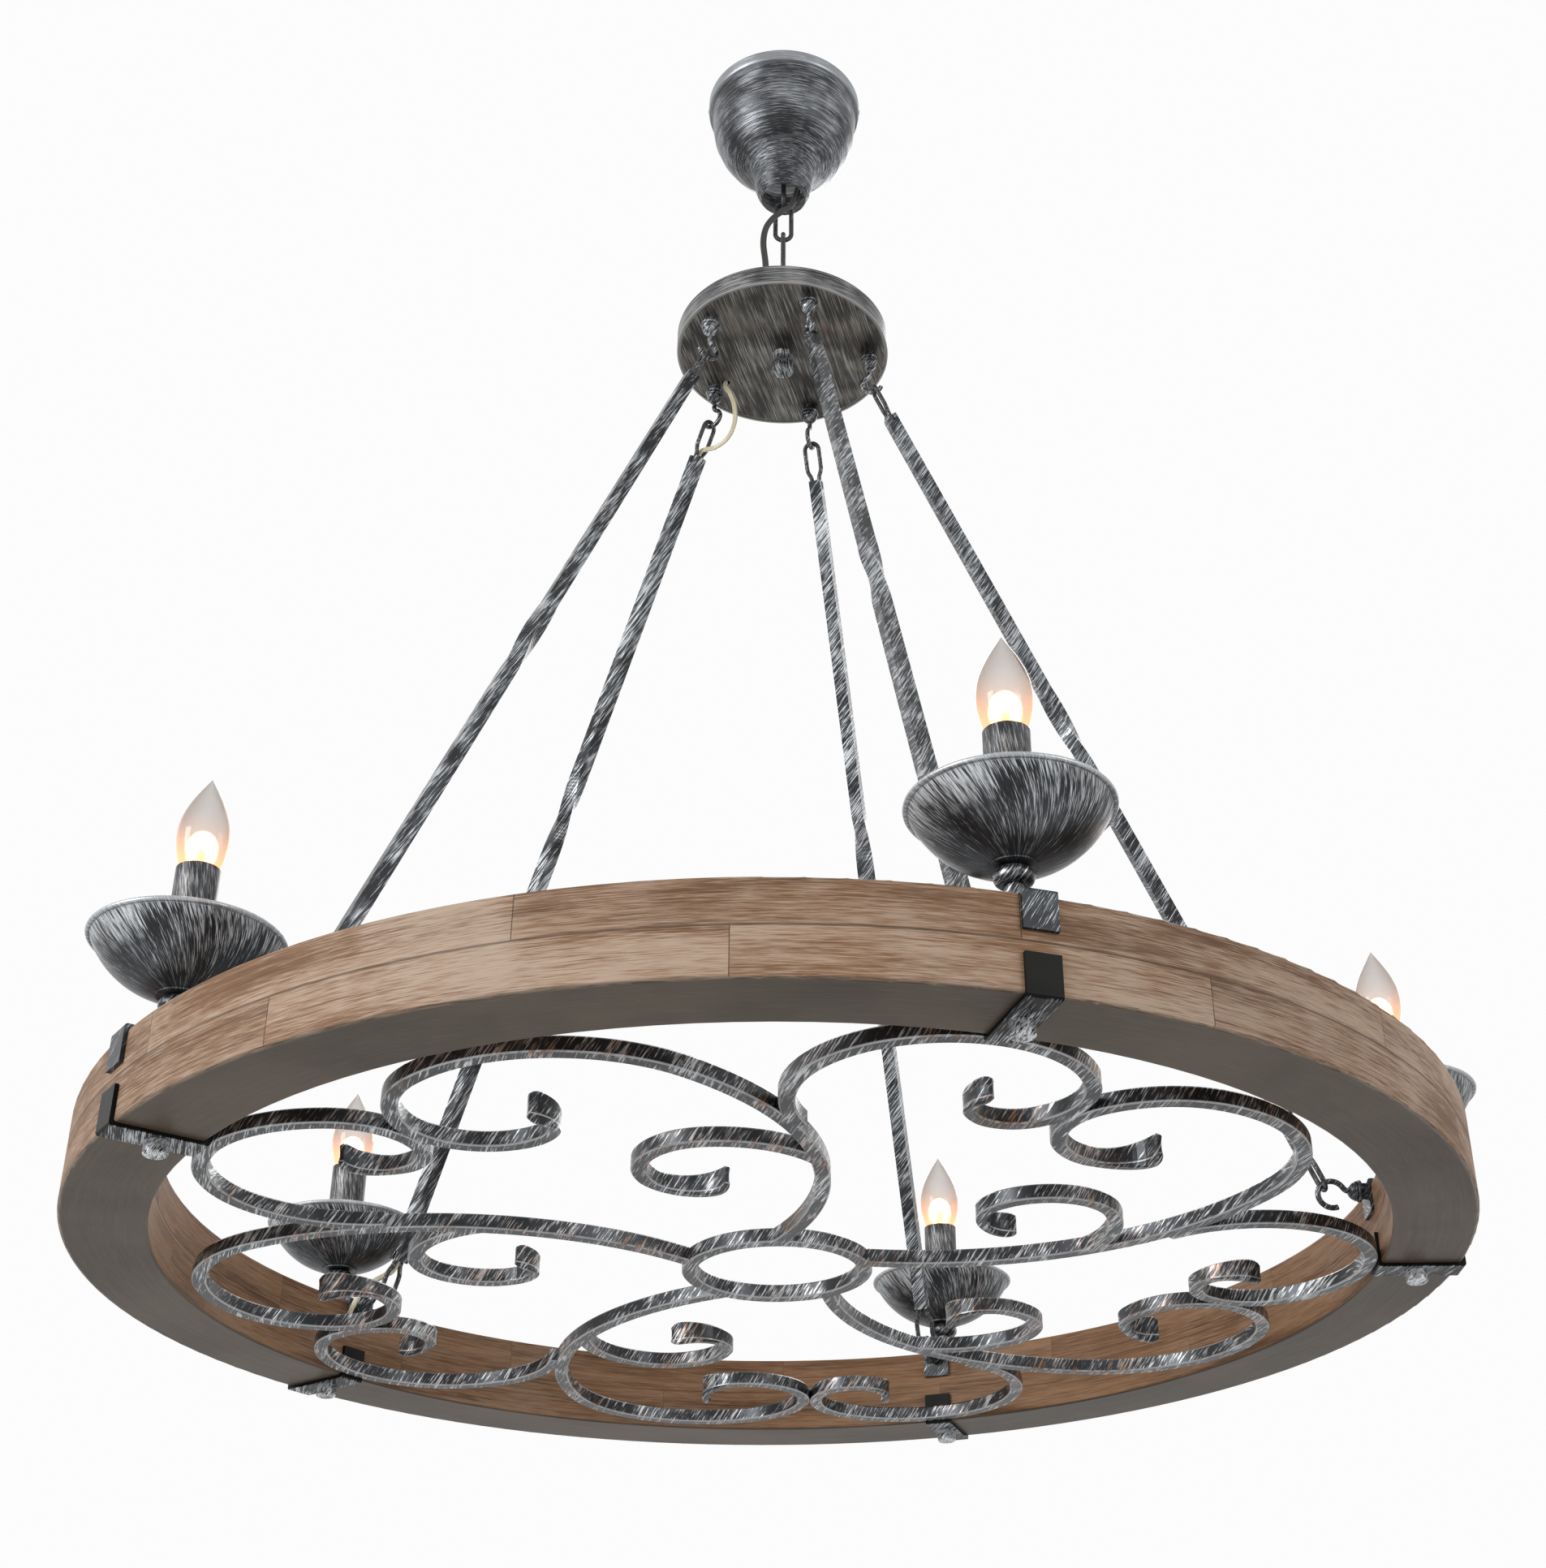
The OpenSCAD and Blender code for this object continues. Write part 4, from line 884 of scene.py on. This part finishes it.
@dataclass
class Lamp:
    """One candle lamp: cup, stem, sleeve and bulb.

    Attributes:
        k: its number.
        haze: finish of the soft light round the filament.
        filament: finish of the filament.
        mount: finish of the glass mount in the bulb.
        neck_share: the glass's radius at its foot, as a share of its widest.
        shoulder: the height of its widest place above the sleeve.
        nib: the radius of the small round end of its tip.
        sides: points round the glass.
        light_height: the height of the filament's middle above the sleeve.
        haze_radius: half the width of the haze of light.
        arch_width: half the width of the filament's arch.
        arch_height: its height.
        wire: the filament's radius.
        glow_watts: the power of the lamp in the bulb.
    """

    k: int
    haze: bpy.types.Material
    filament: bpy.types.Material
    mount: bpy.types.Material
    neck_share: float = 0.69
    shoulder: float = 0.0225
    nib: float = 0.0011
    sides: int = 72
    light_height: float = 0.0135
    haze_radius: float = 0.0098
    arch_width: float = 0.0036
    arch_height: float = 0.0042
    wire: float = 0.00032
    glow_watts: float = 0.30

    def __post_init__(self) -> None:
        """Reads the lamp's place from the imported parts."""
        low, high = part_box(f"bulb_glass_{self.k}")
        self.centre = ((low.x + high.x) / 2, (low.y + high.y) / 2, 0.0)
        self.radius = (high.x - low.x) / 2
        self.tip = high.z
        self.sleeve_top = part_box(f"candle_sleeve_{self.k}")[1].z

    def dress_iron(self, ironwork: Ironwork) -> None:
        """Puts brushed iron on the cup and the sleeve."""
        cup_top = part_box(f"cup_{self.k}")[1].z

        def cup_side(x: Wire, y: Wire, z: Wire) -> Wire:
            """More strokes towards the rim, fewer towards the foot."""
            return (z - (cup_top - 0.016)) * 7.0

        cup = BrushedIron(
            Strokes.UPWARD, cover=0.48, rust_cover=0.02, length=0.014, width=0.0005,
            centre=self.centre, rim=height_mask(cup_top - 0.0042, cup_top - 0.0022, 0.85),
            more=cup_side,
        )  # fmt: skip
        ironwork.dress(f"cup_{self.k}", cup.material(f"cup_iron_{self.k}"))
        sleeve = BrushedIron(
            Strokes.UPWARD, silver=(0.30, 0.29, 0.28, 1.0), cover=0.36, rust_cover=0.06,
            length=0.010, width=0.0016, centre=self.centre,
        )  # fmt: skip
        ironwork.dress(f"candle_sleeve_{self.k}", sleeve.material(f"sleeve_iron_{self.k}"))

    def _profile(self, rows: int = 60) -> tuple[np.ndarray, np.ndarray]:
        """Radii and heights of the flame-shaped glass.

        Below the shoulder the radius swells from the neck as a power of a sine, and above it
        falls as a cosine to the tip, which ends in a small round nib.
        """
        neck = self.radius * self.neck_share
        z0, z1, z2 = self.sleeve_top + 0.0002, self.sleeve_top + self.shoulder, self.tip
        low = np.linspace(0, 1, rows // 3, endpoint=False)
        high = np.linspace(0, 1, rows)
        swell = neck + (self.radius - neck) * np.sin(low * math.pi / 2) ** 0.8
        fall = self.radius * np.cos(high * math.pi / 2)
        tip = self.nib * np.sqrt(1 - high**24)
        radii = np.concatenate([swell, np.maximum(fall, tip)])
        heights = np.concatenate([z0 + (z1 - z0) * low, z1 + (z2 - z1) * high])
        return np.maximum(radii, 0.00003), heights

    def build_bulb(self) -> list[bpy.types.Object]:
        """The glass, the haze of light, the filament and its mount.

        The haze is a flattened ball, with radius and height as a sine and a cosine. The filament
        is a round wire along a parabola with a fine ripple.

        Returns:
            The four pieces, the glass first.
        """
        glass = BulbGlass(self.sleeve_top, self.tip).material(f"bulb_glass_{self.k}")
        centre = np.array(self.centre)
        points, faces = turned_surface(*self._profile(), self.sides)
        shell = mesh_piece(f"flame_glass_{self.k}", points + centre, faces, glass)
        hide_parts(f"bulb_glass_{self.k}")
        pieces = [shell]

        mid = self.sleeve_top + self.light_height
        s = np.linspace(0.02, math.pi - 0.02, 24)
        rise = self.light_height * 0.95 * np.cos(s)
        points, faces = turned_surface(self.haze_radius * np.sin(s), mid - rise, 36)
        pieces.append(mesh_piece(f"bulb_haze_{self.k}", points + centre, faces, self.haze))

        s = np.linspace(-1, 1, 40)
        rise = self.arch_height * (1 - s**2)
        arch = np.stack([self.arch_width * s, 0.0006 * np.sin(s * 40), mid + rise], -1)
        t = np.linspace(0, math.tau, 8, endpoint=False)
        ring = self.wire * np.stack([np.cos(t), np.sin(t)], -1)
        points, faces = swept_surface(arch, ring, (0.0, 1.0, 0.0))
        points = turned(points, lamp_turn(self.k) + 0.6) + centre
        pieces.append(mesh_piece(f"bulb_filament_{self.k}", points, faces, self.filament))

        heights = self.sleeve_top + np.array([0.0004, 0.004, 0.008, 0.0105, 0.0118, 0.0120])
        radii = np.array([0.0042, 0.0030, 0.0021, 0.0019, 0.0014, 0.0004])
        points, faces = turned_surface(radii, heights, 24)
        pieces.append(mesh_piece(f"bulb_mount_{self.k}", points + centre, faces, self.mount))
        for piece in pieces:
            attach(piece, f"bulb_{self.k}")
            log.info("%s: %d faces", piece.name, len(piece.data.polygons))
        return pieces

    def light(self) -> None:
        """A small warm lamp in the bulb."""
        data = bpy.data.lights.new(f"bulb_light_{self.k}", "POINT")
        data.energy = self.glow_watts
        data.color = (1.0, 0.62, 0.34)
        data.shadow_soft_size = 0.006
        lamp = bpy.data.objects.new(f"bulb_light_{self.k}", data)
        lamp.location = (self.centre[0], self.centre[1], self.sleeve_top + 0.016)
        bpy.context.scene.collection.objects.link(lamp)


class Cords:
    """The two flat twin cords: the dark one beside the chain and the clear one in rod 3.

    The routes' points are in millimetres. Those of the clear wire lie in the plane of rod 3,
    which is then turned to its place.
    """

    supply_route: Route = [
        (11, 0, -14.5), (13, 0, -42), (14.3, 0, -72), (14, -0.5, -90), (11, -2, -108),
        (7, -6, -124), (0, -9, -134), (-9, -8, -142), (-15, -6, -152), (-17, -5, -168),
        (-15, -4, -190), (-14, -2, -215), (-14, 0, -245), (-14, 0, -272),
    ]  # fmt: skip
    supply_width: float = 5.4 * MM
    supply_thick: float = 2.8 * MM
    wire_in: Route = [
        (60, 0, -282.5), (60, 0, -292.5), (55, 0, -303), (50, 0, -320), (50, 0, -338),
        (57, 0, -350), (70, 0, -353.5), (84, 0, -350.5),
    ]  # fmt: skip
    wire_out: Route = [
        (361, 0.5, -1001), (367, 4, -1005), (374, 10, -1011), (381, 14.5, -1021),
        (387, 15.5, -1032), (392, 15, -1039), (397, 15, -1042), (405, 15, -1042),
    ]  # fmt: skip
    wire_width: float = 4.4 * MM
    wire_thick: float = 2.4 * MM
    rod_top: tuple[float, float] = (76.574, -328.544)
    rod_bottom: tuple[float, float] = (366.143, -1016.811)
    rod_pivots: float = 746.7
    rod_turn: float = lamp_turn(3)

    def on_rod(self, s: float) -> tuple[float, float, float]:
        """The point s millimetres down rod 3 from its upper pivot."""
        share = s / self.rod_pivots
        x = self.rod_top[0] + share * (self.rod_bottom[0] - self.rod_top[0])
        return (x, 0.0, self.rod_top[1] + share * (self.rod_bottom[1] - self.rod_top[1]))

    def _make(
        self,
        name: str,
        path: np.ndarray,
        width: float,
        thick: float,
        face: tuple[float, float, float],
        finish: bpy.types.Material,
        node: str,
        body: str,
    ) -> bpy.types.Object:
        """Args:
            name: the piece's name.
            path: its centre line, in metres.
            width: the cord's width.
            thick: the cord's thickness.
            face: the side that the flat cord shows.
            finish: its material.
            node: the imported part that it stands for.
            body: the body that it rides on.

        Returns:
            The piece.
        """
        points, faces = swept_surface(path, twin_section(width, thick), face)
        piece = mesh_piece(name, points, faces, finish)
        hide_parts(node)
        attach(piece, body)
        return piece

    def build_supply(self) -> bpy.types.Object:
        """The dark cord from the canopy down into the hub."""
        skin = CordSkin((0.030, 0.025, 0.021, 1.0), (0.014, 0.012, 0.010, 1.0), 0.45)
        path = smooth_line(np.array(self.supply_route, float), 8) * MM
        return self._make(
            "supply_cord_skin", path, self.supply_width, self.supply_thick, (0.0, -1.0, 0.0),
            skin.material("dark_cord_skin"), "supply_cord", "ceiling",
        )  # fmt: skip

    def build_lamp_wire(self) -> bpy.types.Object:
        """The clear wire from the hub through rod 3 into the ring."""
        skin = CordSkin((0.66, 0.61, 0.46, 1.0), (0.42, 0.37, 0.24, 1.0), 0.22, 0.86)
        top = smooth_line(np.array(self.wire_in + [self.on_rod(33)], float), 8)
        middle = np.array([self.on_rod(s) for s in (42, 380, 710)], float)
        bottom = smooth_line(np.array([self.on_rod(720.7)] + self.wire_out, float), 8)
        path = turned(np.vstack([top, middle, bottom]) * MM, self.rod_turn)
        face = turned(np.array([0.0, 1.0, 0.0]), self.rod_turn)
        return self._make(
            "lamp_wire_skin", path, self.wire_width, self.wire_thick, tuple(face),
            skin.material("clear_wire_skin"), "lamp_wire", "rod_3",
        )  # fmt: skip


# --- Studio


@dataclass
class Studio:
    """Camera, floor and light.

    Attributes:
        eye: the camera's place.
        yaw: its turn from +Y towards +X, in degrees.
        pitch: its rise, in degrees.
        roll: its roll, in radians.
        focal_px: the focal length in pixels of the 1905 by 1932 picture.
        centre_px: where its axis meets that picture.
        picture: the picture's width and height.
        floor_z: the floor's height, below the camera.
        floor_half: half its side.
        white: the background's white.
        soft: how strongly the background lights matt surfaces.
        aim: the place that the lamps face.
    """

    eye: tuple[float, float, float] = (0.02824, -1.4318, -1.5422)
    yaw: float = 1.58
    pitch: float = 30.354
    roll: float = -0.01799
    focal_px: float = 2762.23
    centre_px: tuple[float, float] = (1074.01, 965.99)
    picture: tuple[int, int] = (1905, 1932)
    floor_z: float = -1.75
    floor_half: float = 6.0
    white: float = 0.974
    soft: float = 0.60
    aim: tuple[float, float, float] = (0.0, 0.0, -0.75)

    def set_camera(self) -> None:
        """Makes the camera and its view."""
        yaw, pitch = math.radians(self.yaw), math.radians(self.pitch)
        level = Vector((math.sin(yaw), math.cos(yaw), 0.0))
        ahead = level * math.cos(pitch) + Vector((0, 0, math.sin(pitch)))
        right = ahead.cross(Vector((0, 0, 1))).normalized()
        up = right.cross(ahead)
        c, s = math.cos(self.roll), math.sin(self.roll)
        right, up = c * right + s * up, c * up - s * right
        data = bpy.data.cameras.new("photo_camera")
        data.sensor_fit = "VERTICAL"
        data.sensor_height = 36.0
        data.lens = self.focal_px / self.picture[1] * 36.0
        data.shift_x = -(self.centre_px[0] - self.picture[0] / 2) / self.picture[1]
        data.shift_y = (self.centre_px[1] - self.picture[1] / 2) / self.picture[1]
        data.clip_end = 60.0
        camera = bpy.data.objects.new("photo_camera", data)
        turn = Matrix((right, up, -ahead)).transposed().to_4x4()
        camera.matrix_world = Matrix.Translation(self.eye) @ turn
        bpy.context.scene.collection.objects.link(camera)
        bpy.context.scene.camera = camera

    def set_world(self) -> None:
        """White to the camera and in reflections, softer as a light."""
        world = bpy.data.worlds.new("studio")
        world.use_nodes = True
        bpy.context.scene.world = world
        tree = world.node_tree
        back = tree.nodes["Background"]
        rays = tree.nodes.new("ShaderNodeLightPath")
        shown = rays.outputs["Is Camera Ray"]
        for ray in ("Is Transmission Ray", "Is Glossy Ray"):
            either = tree.nodes.new("ShaderNodeMath")
            either.operation = "MAXIMUM"
            tree.links.new(shown, either.inputs[0])
            tree.links.new(rays.outputs[ray], either.inputs[1])
            shown = either.outputs[0]
        strength = tree.nodes.new("ShaderNodeMapRange")
        strength.inputs["To Min"].default_value = self.soft
        strength.inputs["To Max"].default_value = 1.0
        tree.links.new(shown, strength.inputs["Value"])
        tree.links.new(strength.outputs[0], back.inputs["Strength"])
        back.inputs["Color"].default_value = (self.white, self.white, self.white, 1.0)

    def add_floor(self) -> None:
        """A wide pale floor under the camera."""
        signs = np.array([(-1, -1), (1, -1), (1, 1), (-1, 1)], float)
        corners = np.column_stack([signs * self.floor_half, np.full(4, self.floor_z)])
        paint = Paint("floor_paint", Roughness=0.85)
        x, y, z = paint.place()
        cloud = paint.noise(paint.vector(x, y, z), 3.0)
        paint.feed(Base_Color=paint.mix(cloud, (0.78, 0.78, 0.78, 1.0), (0.84, 0.84, 0.84, 1.0)))
        floor = mesh_piece("floor", corners, [(0, 1, 2, 3)], paint.material)

    def add_lamp(
        self, name: str, place: tuple[float, float, float], size: float, watts: float
    ) -> None:
        """A square soft lamp that faces the chandelier's middle.

        Args:
            name: its name.
            place: where it stands.
            size: its side.
            watts: its power.
        """
        data = bpy.data.lights.new(name, "AREA")
        data.shape = "SQUARE"
        data.size = size
        data.energy = watts
        lamp = bpy.data.objects.new(name, data)
        lamp.location = place
        way = Vector(self.aim) - Vector(place)
        lamp.rotation_euler = way.to_track_quat("-Z", "Y").to_euler()
        bpy.context.scene.collection.objects.link(lamp)

    def light(self) -> None:
        """Soft front lamps and a weaker one from above and behind."""
        self.add_lamp("front_left", (-3.2, -2.2, 0.1), 1.5, 104.0)
        self.add_lamp("front_right", (2.8, -2.4, -0.3), 1.4, 32.0)
        self.add_lamp("above_back", (0.6, 2.8, 1.2), 2.0, 45.0)

    def build(self) -> None:
        """The whole studio."""
        self.set_camera()
        self.set_world()
        self.add_floor()
        self.light()
        bpy.context.scene.view_settings.view_transform = "Standard"


def main() -> None:
    """Builds the studio and dresses every piece, from the ceiling down."""
    Studio().build()
    cords = Cords()
    cords.build_supply()
    cords.build_lamp_wire()
    ironwork = Ironwork()
    ironwork.dress_ceiling_group()
    ironwork.dress_rods()
    ironwork.dress_wheel()
    Wheel().dress(ironwork)

    haze = Glow((1.0, 0.70, 0.42, 1.0), 1.15, 2.2).material("bulb_haze")
    filament = Glow((1.0, 0.86, 0.62, 1.0), 9.0).material("bulb_filament")
    mount = CordSkin((0.80, 0.78, 0.72, 1.0), (0.62, 0.58, 0.5, 1.0), 0.12, 0.5)
    mount_glass = mount.material("bulb_mount")
    for k in range(1, ARMS + 1):
        lamp = Lamp(k, haze, filament, mount_glass)
        lamp.dress_iron(ironwork)
        lamp.build_bulb()
        lamp.light()
    stems = BrushedIron(Strokes.BAR, cover=0.55, rust_cover=0.02, length=0.008)
    ironwork.dress("lamp_stems", stems.material("stem_iron"))
    holder = PlainIron((0.05, 0.05, 0.05, 1.0), (0.09, 0.09, 0.09, 1.0), 0.2, 0.5, 0.0)
    ironwork.dress("lampholders", holder.material("holder_plastic"))
    brass = PlainIron((0.62, 0.48, 0.24, 1.0), (0.85, 0.74, 0.5, 1.0), 0.4, 0.28, 1.0)
    cap = brass.material("cap_brass")
    for k in range(1, ARMS + 1):
        ironwork.dress(f"bulb_cap_{k}", cap)


if __name__ == "__main__":
    main()
